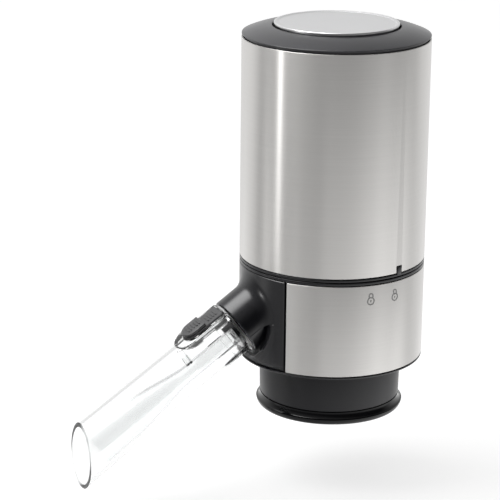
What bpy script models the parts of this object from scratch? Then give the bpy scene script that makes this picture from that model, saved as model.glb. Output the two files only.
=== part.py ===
"""Electric wine aerator that sits on the neck of a bottle.

A battery pump presses air into the bottle, and the wine rises through the body and leaves by
a clear spout. The model is in metres with +Z up. The origin is on the body's axis, in the
plane of the base ring, and the spout points along -Y. Each sub-part is an object of its own.
"""

import math

import bmesh
import bpy
from mathutils import Matrix, Vector

# Gaps and cuts that every piece shares
CLEARANCE = 0.0003
OVERRUN = 0.002
BITE = 0.0004

# Facets of round pieces
BODY_SEGMENTS = 36
PIECE_SEGMENTS = 24
SMALL_SEGMENTS = 12
WIRE_SEGMENTS = 6
ROUND_STEPS = 3
FULL_TURN = math.tau
QUARTER_TURN = math.pi / 2
SMOOTH_ANGLE = math.radians(38)

# Sleeves and the stack of the body
BODY_RADIUS = 0.0325
SLEEVE_WALL = 0.0006
NECK_HEIGHT = 0.0190
HOUSING_RIM_HEIGHT = 0.0007
LOWER_SLEEVE_HEIGHT = 0.0322
SEAM_FLANGE_HEIGHT = 0.0010
INDEX_FLANGE_HEIGHT = 0.0009
UPPER_SLEEVE_HEIGHT = 0.0769

# Neck skirt, base ring and bottle seal
NECK_SHARE = 0.7708
NECK_DRAFT = 0.0003
NECK_WALL = 0.0024
NECK_TOP_WALL = 0.0018
NECK_PORT_RADIUS = 0.0115
BASE_RING_LIP = 0.00095
BASE_RING_HEIGHT = 0.0043
BASE_RING_WALL = 0.0007
BASE_RING_FLOOR = 0.0006
BASE_RING_TOE_HEIGHT = 0.0019
BASE_RING_TOE_ROUND = 0.0013
BASE_RING_FLARE_HEIGHT = 0.0024
SEAL_WALL = 0.00705
SEAL_RIB_HEIGHT = 0.0007
SEAL_RIB_HALF_WIDTH = 0.0008
SEAL_RIB_COUNT = 2
SEAL_TOP_WALL = 0.0020
SEAL_LEAD_IN = 0.0014

# Lower housing
HOUSING_WALL = 0.0018
HOUSING_FLOOR = 0.0020
HOUSING_EDGE_ROUND = 0.0005
POST_RADIUS = 0.0026
POST_INSET = 0.0058
POST_ANGLES = tuple(math.radians(a) for a in (-28, 45, 135, 208))
SCREW_HEAD_RADIUS = 0.0021
SCREW_HEAD_HEIGHT = 0.0012
SCREW_SHANK_RADIUS = 0.0011
SCREW_LENGTH = 0.0090
SCREW_SLOT_WIDTH = 0.0006
SCREW_SLOT_DEPTH = 0.0005

# Front panel with the spout boss
PANEL_HALF_ANGLE = math.radians(33.4)
PANEL_GAP_ANGLE = math.radians(1.8)
PANEL_SETBACK = 0.00005
SPOUT_TILT = math.radians(33.8)
SPOUT_EXIT_SHARE = 0.4620
BOSS_RADIUS = 0.01075
BOSS_WALL = 0.00115
BOSS_STANDOUT = 0.00529
BOSS_FILLET = 0.0030
BOSS_MOUTH_ROUND = 0.0004
BOSS_FILLET_STEPS = 4
BOSS_SEGMENTS = 28

# Spout socket, pipe and straw nipple
SOCKET_DEPTH = 0.0165
SOCKET_WALL = 0.0014
SOCKET_BACK_WALL = 0.0015
CHANNEL_DROP = 0.0022
CHANNEL_BORE_RADIUS = 0.0015
SPIGOT_RADIUS = 0.0022
SPIGOT_LENGTH = 0.0048
PIPE_WALL = 0.0009
PIPE_STEPS = 7
PIPE_SIDES = 8
NIPPLE_RADIUS = 0.0024
NIPPLE_TIP_RADIUS = 0.0020
NIPPLE_OFFSET = 0.0045
NIPPLE_REACH = 0.0060
NIPPLE_FLANGE_RADIUS = 0.0042
NIPPLE_FLANGE_HEIGHT = 0.0010

# Pump and motor
PUMP_FRONT = 0.0020
PUMP_INSET = 0.0048
PUMP_HEAD_HEIGHT = 0.0030
VALVE_PLATE_HEIGHT = 0.0012
DIAPHRAGM_HEIGHT = 0.0010
DIAPHRAGM_CUP_SHARE = 0.261
DIAPHRAGM_CUP_HEIGHT = 0.0011
PUMP_CUP_RING_SHARE = 0.539
PUMP_CHAMBERS = 3
PUMP_FRAME_HEIGHT = 0.0093
PUMP_FRAME_WALL = 0.0014
PUMP_FRAME_TOP_WALL = 0.0014
PUMP_OUTLET_OFFSET = 0.0050
PUMP_OUTLET_RADIUS = 0.0019
PUMP_OUTLET_BORE_RADIUS = 0.0009
PUMP_OUTLET_DROP = 0.0024
MOTOR_INSET = 0.0015
MOTOR_HEADROOM = 0.0027
MOTOR_NOSE_RADIUS = 0.0031
MOTOR_NOSE_HEIGHT = 0.0010
MOTOR_EDGE_ROUND = 0.0010
SHAFT_RADIUS = 0.0010
SHAFT_LENGTH = 0.0085
SHAFT_FREE_LENGTH = 0.0044
ECCENTRIC_RADIUS = 0.0034
ECCENTRIC_THROW = 0.0009
ECCENTRIC_HEIGHT = 0.0022
WOBBLE_HUB_RADIUS = 0.0030
WOBBLE_HUB_HEIGHT = 0.0016
WOBBLE_ARM_HEIGHT = 0.0009
WOBBLE_ARM_WIDTH = 0.0022
WOBBLE_ARM_START = 0.0016
WOBBLE_PAD_RADIUS = 0.0021

# Deck with the bayonet collar
DECK_PLATE_HEIGHT = 0.0024
DECK_SPIGOT_DEPTH = 0.0025
DECK_SPIGOT_WALL = 0.0012
DECK_WIRE_RADIUS = 0.0080
COLLAR_WALL = 0.0014
COLLAR_HEIGHT = 0.0055
BAYONET_LUGS = 3
BAYONET_LUG_SPAN = math.radians(15)
BAYONET_LUG_DEPTH = 0.0009
BAYONET_LUG_HEIGHT = 0.0013
BAYONET_LUG_LIFT = 0.0018
COVER_TWIST = math.radians(17.5)

# Cover: index ring, liner, bezel and button
LINER_WALL = 0.0015
INDEX_UPSTAND_HEIGHT = 0.0060
INDEX_UPSTAND_WALL = 0.0007
INDEX_TAB_ANGLE = math.radians(17.9)
INDEX_TAB_WIDTH = 0.0020
INDEX_TAB_HEIGHT = 0.0026
INDEX_TAB_PROUD = 0.0002
INDEX_TAB_THICKNESS = 0.0007
BEZEL_GROOVE = 0.0007
BEZEL_EDGE_SETBACK = 0.0001
BEZEL_EDGE_HEIGHT = 0.0005
BEZEL_RISE = 0.0028
BEZEL_CROWN = 0.0003
BEZEL_BASE_THICKNESS = 0.0016
BEZEL_SKIRT_DEPTH = 0.0050
BEZEL_SKIRT_WALL = 0.0012
BEZEL_INNER_DEPTH = 0.0060
BEZEL_WIDTH = 0.0110
BUTTON_GAP = 0.00055
BUTTON_PROUD = 0.0010
BUTTON_EDGE_ROUND = 0.0008
BUTTON_DISH = 0.0003
BUTTON_TOP_WALL = 0.0012
BUTTON_SKIRT_WALL = 0.0012
BUTTON_FLANGE_WIDTH = 0.0012
BUTTON_FLANGE_HEIGHT = 0.0011
BUTTON_TRAVEL = 0.0015
GUIDE_PLATE_HEIGHT = 0.0016
GUIDE_TUBE_WALL = 0.0012
GUIDE_TUBE_RISE = 0.0024
GUIDE_TUBE_DROP = 0.0080
STEM_RADIUS = 0.0035
SPRING_WIRE_RADIUS = 0.0004
SPRING_TURNS = 3
SPRING_STEPS_PER_TURN = 12
SPRING_GAP = 0.0006

# Batteries, board and switch
CELL_COUNT = 6
CELL_RADIUS = 0.00525
CELL_HEADROOM = 0.0324
CELL_NUB_RADIUS = 0.0019
CELL_NUB_HEIGHT = 0.0010
CELL_EDGE_ROUND = 0.0005
CELL_INSET = 0.00175
CRADLE_PLATE = 0.0016
CRADLE_SPINE_INSET = 0.0042
CRADLE_CORE_INSET = 0.0059
CRADLE_CORE_WALL = 0.0015
POCKET_STEPS = 8
PANEL_STEPS = 10
CONTACT_THICKNESS = 0.0004
CONTACT_HALF_WIDTH = 0.0030
CONTACT_BUMP_RADIUS = 0.0016
CONTACT_BUMP_HEIGHT = 0.0002
BOARD_INSET = 0.0062
BOARD_THICKNESS = 0.0016
BOARD_POSTS = 3
BOARD_POST_RADIUS = 0.0020
BOARD_POST_INSET = 0.0035
BOARD_POST_HEIGHT = 0.0024
SWITCH_HALF_WIDTH = 0.0060
SWITCH_PLUNGER_RADIUS = 0.0032
SWITCH_PLUNGER_DEPTH = 0.0028
SWITCH_PLUNGER_PROUD = 0.0022
SWITCH_FLOOR = 0.0006

# Clear spout
SPOUT_STANDOUT = 0.0695
SPOUT_ROOT_RADIUS = 0.00885
SPOUT_TIP_RADIUS = 0.0097
SPOUT_WALL = 0.0013
SPOUT_FLANGE_RADIUS = 0.0105
SPOUT_FLANGE_THICKNESS = 0.0008
SPOUT_GROOVE_PLACE = 0.0051
SPOUT_GROOVE_WIDTH = 0.0006
SPOUT_GROOVE_DEPTH = 0.0004
PAD_HALF_WIDTH = 0.0057
PAD_TOP = 0.0095
PAD_LENGTH = 0.0208
PAD_EDGE_ROUND = 0.0005
STADIUM_STEPS = 8
WINDOW_LENGTH = 0.0058
WINDOW_WIDTH = 0.0030
WINDOW_PLACE = 0.0068
WINDOW_ANGLE = math.radians(43)
SEAT_HALF_WIDTH = 0.0040
SEAT_LENGTH = 0.0158
SEAT_RECESS = 0.0012
SEAT_THICKNESS = 0.0014
VENT_SLOT_HALF_WIDTH = 0.0009
VENT_SLOT_LENGTH = 0.0121
VENT_PORT_RADIUS = 0.0011
SLIDER_LENGTH = 0.0083
SLIDER_THICKNESS = 0.0010
SLIDER_RIB_LENGTH = 0.0053
SLIDER_RIB_SETBACK = 0.0020
SLIDER_BARS = 3
SLIDER_BAR_WIDTH = 0.0007
SLIDER_BAR_PITCH = 0.0018
SLIDER_BAR_HEIGHT = 0.0004
SLIDER_BAR_HALF_LENGTH = 0.0024
PLUG_RADIUS = 0.0069
PLUG_LENGTH = 0.0182
PLUG_NOSE_LENGTH = 0.0050
PLUG_GROOVE_PLACE = 0.0058
PLUG_GROOVE_WIDTH = 0.0024
PLUG_GROOVE_DEPTH = 0.0013
PLUG_LUG_WIDTH = 0.0030
O_RING_WIRE_RADIUS = 0.0009
NOZZLE_RADIUS = 0.0031
NOZZLE_WALL = 0.0007
NOZZLE_THROAT = 0.0210
NOZZLE_END_DROP = 0.0006
CHIMNEY_RADIUS = 0.0013
CHIMNEY_BORE_RADIUS = 0.0007
CHIMNEY_PLACE = 0.0150

# Shapes given as shares of the sizes they follow
PIPE_RISE_SHARE = 1.15
PIPE_REACH_SHARE = 0.45
LAND_SHARES = (0.34, 0.66)
CROWN_SHARES = (0.0, 0.33, 0.67, 1.0)
HORN_SHARES = ((0.0, 0.0), (0.12, 0.06), (0.35, 0.36), (0.70, 0.80), (1.0, 1.0))

# Sizes that follow from those above
NECK_RADIUS = BODY_RADIUS * NECK_SHARE
NECK_LOW_RADIUS = NECK_RADIUS - NECK_DRAFT
NECK_INNER_RADIUS = NECK_LOW_RADIUS - NECK_WALL
BASE_RING_RADIUS = NECK_RADIUS + BASE_RING_LIP
SEAL_RADIUS = NECK_INNER_RADIUS - CLEARANCE
SEAL_BORE_RADIUS = SEAL_RADIUS - SEAL_WALL
HOUSING_BASE = NECK_HEIGHT + CLEARANCE
HOUSING_FLOOR_TOP = HOUSING_BASE + HOUSING_FLOOR
LOWER_SLEEVE_BASE = HOUSING_BASE + HOUSING_RIM_HEIGHT + CLEARANCE
LOWER_SLEEVE_TOP = LOWER_SLEEVE_BASE + LOWER_SLEEVE_HEIGHT
DECK_BASE = LOWER_SLEEVE_TOP + CLEARANCE
DECK_SEAM_TOP = DECK_BASE + SEAM_FLANGE_HEIGHT
DECK_TOP = DECK_BASE + DECK_PLATE_HEIGHT
INDEX_BASE = DECK_SEAM_TOP + CLEARANCE
INDEX_TOP = INDEX_BASE + INDEX_FLANGE_HEIGHT
UPPER_SLEEVE_BASE = INDEX_TOP + CLEARANCE
UPPER_SLEEVE_TOP = UPPER_SLEEVE_BASE + UPPER_SLEEVE_HEIGHT
SLEEVE_INNER_RADIUS = BODY_RADIUS - SLEEVE_WALL
HOUSING_RADIUS = SLEEVE_INNER_RADIUS - CLEARANCE
HOUSING_INNER_RADIUS = HOUSING_RADIUS - HOUSING_WALL
POST_RING_RADIUS = HOUSING_INNER_RADIUS - POST_INSET
PANEL_RADIUS = BODY_RADIUS - PANEL_SETBACK
SPOUT_EXIT_HEIGHT = LOWER_SLEEVE_BASE + LOWER_SLEEVE_HEIGHT * SPOUT_EXIT_SHARE
SPOUT_ROOT_HEIGHT = SPOUT_EXIT_HEIGHT + PANEL_RADIUS * math.tan(SPOUT_TILT)
BOSS_REACH = BODY_RADIUS / math.cos(SPOUT_TILT) + BOSS_STANDOUT
SPOUT_REACH = BOSS_REACH + SPOUT_STANDOUT
LINER_INNER_RADIUS = HOUSING_RADIUS - LINER_WALL
LINER_TOP = UPPER_SLEEVE_TOP - BEZEL_GROOVE + CLEARANCE
UPSTAND_RADIUS = LINER_INNER_RADIUS - CLEARANCE
UPSTAND_INNER_RADIUS = UPSTAND_RADIUS - INDEX_UPSTAND_WALL
COLLAR_LUG_RADIUS = UPSTAND_INNER_RADIUS - CLEARANCE
COLLAR_RADIUS = COLLAR_LUG_RADIUS - BAYONET_LUG_DEPTH
COLLAR_INNER_RADIUS = COLLAR_RADIUS - COLLAR_WALL
CRADLE_RADIUS = COLLAR_INNER_RADIUS - CLEARANCE
CRADLE_SPINE_RADIUS = CRADLE_RADIUS - CRADLE_SPINE_INSET
CELL_RING_RADIUS = CRADLE_RADIUS - CELL_RADIUS - CELL_INSET
CRADLE_CORE_RADIUS = CELL_RING_RADIUS - CRADLE_CORE_INSET
CRADLE_WELL_RADIUS = CRADLE_CORE_RADIUS - CRADLE_CORE_WALL
BOARD_RADIUS = CRADLE_RADIUS - BOARD_INSET
BOARD_POST_RING_RADIUS = BOARD_RADIUS - BOARD_POST_INSET
RING_LUG_BASE = INDEX_BASE + BAYONET_LUG_LIFT
COLLAR_LUG_BASE = RING_LUG_BASE + BAYONET_LUG_HEIGHT + CLEARANCE
BEZEL_BASE = LINER_TOP + CLEARANCE
BEZEL_EDGE_BASE = UPPER_SLEEVE_TOP + BEZEL_GROOVE
BEZEL_EDGE_RADIUS = BODY_RADIUS - BEZEL_EDGE_SETBACK
BEZEL_TOP = BEZEL_EDGE_BASE + BEZEL_EDGE_HEIGHT + BEZEL_RISE
BUTTON_RADIUS = BODY_RADIUS - BEZEL_WIDTH
BEZEL_INNER_RADIUS = BUTTON_RADIUS + BUTTON_GAP
BEZEL_INNER_BASE = BEZEL_TOP - BEZEL_INNER_DEPTH
BUTTON_TOP = BEZEL_TOP + BUTTON_PROUD
BUTTON_UNDERSIDE = BUTTON_TOP - BUTTON_DISH - BUTTON_TOP_WALL
BUTTON_FLANGE_TOP = BEZEL_INNER_BASE - CLEARANCE
BUTTON_SKIRT_BASE = BUTTON_FLANGE_TOP - BUTTON_FLANGE_HEIGHT
GUIDE_TOP = BUTTON_SKIRT_BASE - BUTTON_TRAVEL - CLEARANCE
GUIDE_BASE = GUIDE_TOP - GUIDE_PLATE_HEIGHT
GUIDE_BORE_RADIUS = STEM_RADIUS + CLEARANCE
GUIDE_TUBE_RADIUS = GUIDE_BORE_RADIUS + GUIDE_TUBE_WALL
CRADLE_BASE = DECK_TOP + CLEARANCE
CONTACT_LOW_BASE = CRADLE_BASE + CRADLE_PLATE + CLEARANCE
CELL_BASE = CONTACT_LOW_BASE + CONTACT_THICKNESS + CONTACT_BUMP_HEIGHT + CLEARANCE
CELL_LENGTH = UPPER_SLEEVE_HEIGHT - CELL_HEADROOM
CELL_TOP = CELL_BASE + CELL_LENGTH
CONTACT_HIGH_BASE = CELL_TOP + CLEARANCE + CONTACT_BUMP_HEIGHT
CRADLE_ROOF_BASE = CONTACT_HIGH_BASE + CONTACT_THICKNESS + CLEARANCE
CRADLE_ROOF_TOP = CRADLE_ROOF_BASE + CRADLE_PLATE
BOARD_BASE = CRADLE_ROOF_TOP + BOARD_POST_HEIGHT + CLEARANCE
BOARD_TOP = BOARD_BASE + BOARD_THICKNESS
SWITCH_BASE = BOARD_TOP + CLEARANCE
SWITCH_WELL_BASE = SWITCH_BASE + SWITCH_FLOOR
PLUNGER_BASE = SWITCH_WELL_BASE + BUTTON_TRAVEL + CLEARANCE
SWITCH_TOP = PLUNGER_BASE + SWITCH_PLUNGER_DEPTH
PLUNGER_TOP = SWITCH_TOP + SWITCH_PLUNGER_PROUD
STEM_BASE = PLUNGER_TOP + CLEARANCE
STEM_TOP = BUTTON_UNDERSIDE - CLEARANCE
PUMP_WIDTH = HOUSING_INNER_RADIUS - PUMP_INSET - PUMP_FRONT
PUMP_RADIUS = PUMP_WIDTH / 2
PUMP_OFFSET = PUMP_FRONT + PUMP_RADIUS
PUMP_CUP_RING_RADIUS = PUMP_RADIUS * PUMP_CUP_RING_SHARE
DIAPHRAGM_CUP_RADIUS = PUMP_RADIUS * DIAPHRAGM_CUP_SHARE
MOTOR_RADIUS = PUMP_RADIUS - MOTOR_INSET
PUMP_HEAD_BASE = HOUSING_FLOOR_TOP + CLEARANCE
VALVE_PLATE_BASE = PUMP_HEAD_BASE + PUMP_HEAD_HEIGHT + CLEARANCE
DIAPHRAGM_BASE = VALVE_PLATE_BASE + VALVE_PLATE_HEIGHT + CLEARANCE
PUMP_FRAME_BASE = DIAPHRAGM_BASE + DIAPHRAGM_HEIGHT + CLEARANCE
PUMP_FRAME_TOP = PUMP_FRAME_BASE + PUMP_FRAME_HEIGHT
MOTOR_BASE = PUMP_FRAME_TOP + CLEARANCE
MOTOR_HEIGHT = DECK_BASE - MOTOR_HEADROOM - MOTOR_BASE
SHAFT_BASE = MOTOR_BASE - SHAFT_FREE_LENGTH
BOSS_BORE_RADIUS = BOSS_RADIUS - BOSS_WALL
SOCKET_RADIUS = BOSS_BORE_RADIUS - CLEARANCE
SOCKET_FRONT = BOSS_REACH - CLEARANCE
SOCKET_BACK = SOCKET_FRONT - SOCKET_DEPTH
SOCKET_BORE_RADIUS = SOCKET_RADIUS - SOCKET_WALL
PIPE_BORE_RADIUS = SPIGOT_RADIUS + CLEARANCE
PIPE_RADIUS = PIPE_BORE_RADIUS + PIPE_WALL
SPOUT_START = BOSS_REACH + CLEARANCE
SPOUT_BODY_START = SPOUT_START + SPOUT_FLANGE_THICKNESS
SPOUT_BORE_START_RADIUS = SPOUT_ROOT_RADIUS - SPOUT_WALL
PLUG_NOSE_RADIUS = SPOUT_BORE_START_RADIUS - CLEARANCE
PLUG_FRONT = SPOUT_START + PLUG_NOSE_LENGTH
PLUG_BACK = PLUG_FRONT - PLUG_LENGTH
SEAT_START = SPOUT_BODY_START + CLEARANCE
SEAT_FLOOR = PAD_TOP - SEAT_RECESS
SEAT_BASE = SEAT_FLOOR + CLEARANCE
SEAT_TOP = SEAT_BASE + SEAT_THICKNESS
SEAT_END = SEAT_START + SEAT_LENGTH
SLIDER_END = SEAT_END - CLEARANCE
SLIDER_START = SLIDER_END - SLIDER_LENGTH
SLIDER_BASE = SEAT_TOP + CLEARANCE
SLIDER_TOP = SLIDER_BASE + SLIDER_THICKNESS
NOZZLE_START = PLUG_FRONT + CLEARANCE
NOZZLE_FLARE_START = NOZZLE_START + NOZZLE_THROAT - PLUG_NOSE_LENGTH


def clear_scene():
    for obj in list(bpy.data.objects):
        bpy.data.objects.remove(obj, do_unlink=True)


def material(name, colour, roughness, metallic=0.0, transmission=0.0):
    made = bpy.data.materials.new(name)
    made.use_nodes = True
    shader = made.node_tree.nodes["Principled BSDF"]
    shader.inputs["Base Color"].default_value = (*colour, 1.0)
    shader.inputs["Roughness"].default_value = roughness
    shader.inputs["Metallic"].default_value = metallic
    shader.inputs["Transmission Weight"].default_value = transmission
    made.diffuse_color = (*colour, 1.0)
    return made


def brushed_steel():
    return material("brushed_steel", (0.56, 0.56, 0.57), 0.30, metallic=1.0)


def satin_bezel_metal():
    return material("bezel_metal", (0.20, 0.20, 0.21), 0.35, metallic=1.0)


def button_silver():
    return material("button_silver", (0.72, 0.72, 0.73), 0.32, metallic=1.0)


def black_plastic():
    return material("black_plastic", (0.018, 0.018, 0.020), 0.38)


def gloss_black_plastic():
    return material("gloss_black_plastic", (0.010, 0.010, 0.011), 0.12)


def grey_plastic():
    return material("grey_plastic", (0.16, 0.16, 0.17), 0.45)


def clear_plastic():
    return material("clear_plastic", (0.95, 0.96, 0.96), 0.04, transmission=1.0)


def silicone_rubber():
    return material("silicone", (0.050, 0.050, 0.052), 0.60)


def spring_steel():
    return material("spring_steel", (0.48, 0.48, 0.48), 0.28, metallic=1.0)


def plated_contact():
    return material("plated_contact", (0.70, 0.68, 0.62), 0.30, metallic=1.0)


def cell_jacket():
    return material("cell_jacket", (0.08, 0.20, 0.13), 0.35)


def board_laminate():
    return material("board_laminate", (0.02, 0.14, 0.06), 0.50)


def add_object(name, bm, finish, parent=None):
    """Turns a bmesh into a named object with its material, shaded smooth but for its corners."""
    bmesh.ops.recalc_face_normals(bm, faces=bm.faces)
    mesh = bpy.data.meshes.new(name)
    bm.to_mesh(mesh)
    bm.free()
    mesh.shade_smooth()
    mesh.set_sharp_from_angle(angle=SMOOTH_ANGLE)
    obj = bpy.data.objects.new(name, mesh)
    bpy.context.scene.collection.objects.link(obj)
    if finish is not None:
        mesh.materials.append(finish)
    if parent is not None:
        obj.parent = parent
    return obj


def add_cutter(name, bm, parent=None):
    cutter = add_object(name, bm, None, parent)
    cutter.hide_render = True
    cutter.display_type = "WIRE"
    return cutter


def add_empty(name, location, rotation=(0.0, 0.0, 0.0)):
    empty = bpy.data.objects.new(name, None)
    empty.location = location
    empty.rotation_euler = rotation
    bpy.context.scene.collection.objects.link(empty)
    return empty


def combine(obj, other, operation):
    modifier = obj.modifiers.new(other.name, "BOOLEAN")
    modifier.operation = operation
    modifier.solver = "EXACT"
    modifier.object = other


def cut(obj, cutter):
    combine(obj, cutter, "DIFFERENCE")


def join(obj, other):
    combine(obj, other, "UNION")


def turn(bm, profile, segments, sweep=FULL_TURN, start=0.0, centre=(0.0, 0.0)):
    """Spins a closed (radius, height) profile about a vertical axis through centre."""
    turned = bmesh.new()
    corners = [turned.verts.new((r, 0.0, z)) for r, z in profile]
    full = sweep >= FULL_TURN
    if full:
        pairs = zip(corners, corners[1:] + corners[:1])
        geometry = [turned.edges.new(p) for p in pairs if not (p[0].co.x == 0 and p[1].co.x == 0)]
    else:
        geometry = [turned.faces.new(corners)]
    bmesh.ops.spin(
        turned,
        geom=geometry,
        cent=(0.0, 0.0, 0.0),
        axis=(0.0, 0.0, 1.0),
        angle=sweep,
        steps=segments,
        use_merge=full,
    )
    bmesh.ops.remove_doubles(turned, verts=turned.verts, dist=CLEARANCE / segments / segments)
    bmesh.ops.rotate(turned, verts=turned.verts, matrix=Matrix.Rotation(start, 3, "Z"))
    bmesh.ops.translate(turned, verts=turned.verts, vec=(*centre, 0.0))
    bmesh.ops.recalc_face_normals(turned, faces=turned.faces)
    append(bm, turned)


def append(bm, other):
    """Adds the shapes of another bmesh to this one."""
    mesh = bpy.data.meshes.new("joined")
    other.to_mesh(mesh)
    other.free()
    bm.from_mesh(mesh)
    bpy.data.meshes.remove(mesh)


def turned_object(name, profile, finish, segments=BODY_SEGMENTS, parent=None, **placing):
    bm = bmesh.new()
    turn(bm, profile, segments, **placing)
    return add_object(name, bm, finish, parent)


def skin(rings, loop=False):
    """Joins rings of points with faces. A loop closes last to first, or else both ends get caps."""
    bm = bmesh.new()
    made = [[bm.verts.new(point) for point in ring] for ring in rings]
    pairs = list(zip(made, made[1:])) + ([(made[-1], made[0])] if loop else [])
    for low, high in pairs:
        for i in range(len(low)):
            k = (i + 1) % len(low)
            bm.faces.new((low[i], low[k], high[k], high[i]))
    if not loop:
        bm.faces.new(made[0][::-1])
        bm.faces.new(made[-1])
    bmesh.ops.recalc_face_normals(bm, faces=bm.faces)
    return bm


def angles(count, start=0.0, sweep=FULL_TURN):
    return [start + sweep * i / count for i in range(count)]


def circle(radius, height, segments, centre=(0.0, 0.0)):
    points = [on_ring(radius, a) for a in angles(segments)]
    return [(centre[0] + x, centre[1] + y, height) for x, y in points]


def cylinder(bm, radius, low, high, segments, centre=(0.0, 0.0)):
    append(bm, skin([circle(radius, z, segments, centre) for z in (low, high)]))


def box(bm, low, high):
    """A box between two corners."""
    size = Vector(high) - Vector(low)
    middle = (Vector(high) + Vector(low)) / 2
    made = bmesh.ops.create_cube(bm, size=1.0)
    bmesh.ops.scale(bm, verts=made["verts"], vec=size)
    bmesh.ops.translate(bm, verts=made["verts"], vec=middle)
    return made["verts"]


def arc(centre_r, centre_z, radius_r, radius_z, start, end, steps):
    """Points of an elliptical arc in a (radius, height) profile."""
    return [
        (
            centre_r + radius_r * math.cos(start + (end - start) * i / steps),
            centre_z + radius_z * math.sin(start + (end - start) * i / steps),
        )
        for i in range(steps + 1)
    ]


def on_ring(radius, angle):
    return (radius * math.cos(angle), radius * math.sin(angle))


# Neck skirt, base ring and seal


def neck_skirt():
    spigot = NECK_LOW_RADIUS - BASE_RING_WALL - CLEARANCE
    shoulder = BASE_RING_HEIGHT + CLEARANCE
    foot = BASE_RING_FLOOR + CLEARANCE
    profile = [
        (NECK_INNER_RADIUS, foot),
        (spigot, foot),
        (spigot, shoulder),
        (NECK_LOW_RADIUS, shoulder),
        (NECK_RADIUS, NECK_HEIGHT),
        (NECK_PORT_RADIUS, NECK_HEIGHT),
        (NECK_PORT_RADIUS, NECK_HEIGHT - NECK_TOP_WALL),
        (NECK_INNER_RADIUS, NECK_HEIGHT - NECK_TOP_WALL),
    ]
    turned_object("neck_skirt", profile, black_plastic())


def base_ring():
    inner = NECK_LOW_RADIUS - BASE_RING_WALL
    flare_depth = BASE_RING_RADIUS - NECK_LOW_RADIUS
    flare = arc(
        BASE_RING_RADIUS,
        BASE_RING_HEIGHT,
        flare_depth,
        BASE_RING_FLARE_HEIGHT,
        math.pi,
        math.pi + QUARTER_TURN,
        ROUND_STEPS,
    )
    toe = arc(
        BASE_RING_RADIUS - BASE_RING_TOE_ROUND,
        BASE_RING_TOE_HEIGHT,
        BASE_RING_TOE_ROUND,
        BASE_RING_TOE_HEIGHT,
        0.0,
        -QUARTER_TURN,
        ROUND_STEPS,
    )
    profile = (
        [(inner, BASE_RING_FLOOR), (inner, BASE_RING_HEIGHT)]
        + flare
        + toe
        + [(NECK_INNER_RADIUS, 0.0), (NECK_INNER_RADIUS, BASE_RING_FLOOR)]
    )
    turned_object("base_ring", profile, gloss_black_plastic())


def bottle_seal():
    outer = SEAL_RADIUS
    top = NECK_HEIGHT - NECK_TOP_WALL - CLEARANCE
    low = BASE_RING_FLOOR + CLEARANCE
    roof = top - SEAL_TOP_WALL
    profile = [
        (0.0, top),
        (outer, top),
        (outer, low),
        (SEAL_BORE_RADIUS + SEAL_LEAD_IN, low),
        (SEAL_BORE_RADIUS, low + SEAL_LEAD_IN),
    ]
    pitch = (roof - low - SEAL_LEAD_IN) / (SEAL_RIB_COUNT + 1)
    for i in range(SEAL_RIB_COUNT):
        middle = low + SEAL_LEAD_IN + pitch * (i + 1)
        profile += [
            (SEAL_BORE_RADIUS, middle - SEAL_RIB_HALF_WIDTH),
            (SEAL_BORE_RADIUS - SEAL_RIB_HEIGHT, middle),
            (SEAL_BORE_RADIUS, middle + SEAL_RIB_HALF_WIDTH),
        ]
    profile += [(SEAL_BORE_RADIUS, roof), (0.0, roof)]
    seal = turned_object("bottle_seal", profile, silicone_rubber(), PIECE_SEGMENTS)
    cut(seal, port_cutter("seal_ports", roof - OVERRUN, top + OVERRUN))


def port_cutter(name, low, high):
    """The two holes that let the straw nipple and the air outlet through."""
    bm = bmesh.new()
    cylinder(bm, NIPPLE_RADIUS + CLEARANCE, low, high, SMALL_SEGMENTS, (0.0, -NIPPLE_OFFSET))
    outlet = PUMP_OUTLET_RADIUS + CLEARANCE
    cylinder(bm, outlet, low, high, SMALL_SEGMENTS, (0.0, PUMP_OUTLET_OFFSET))
    return add_cutter(name, bm)


# Lower housing, sleeve and front panel


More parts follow.
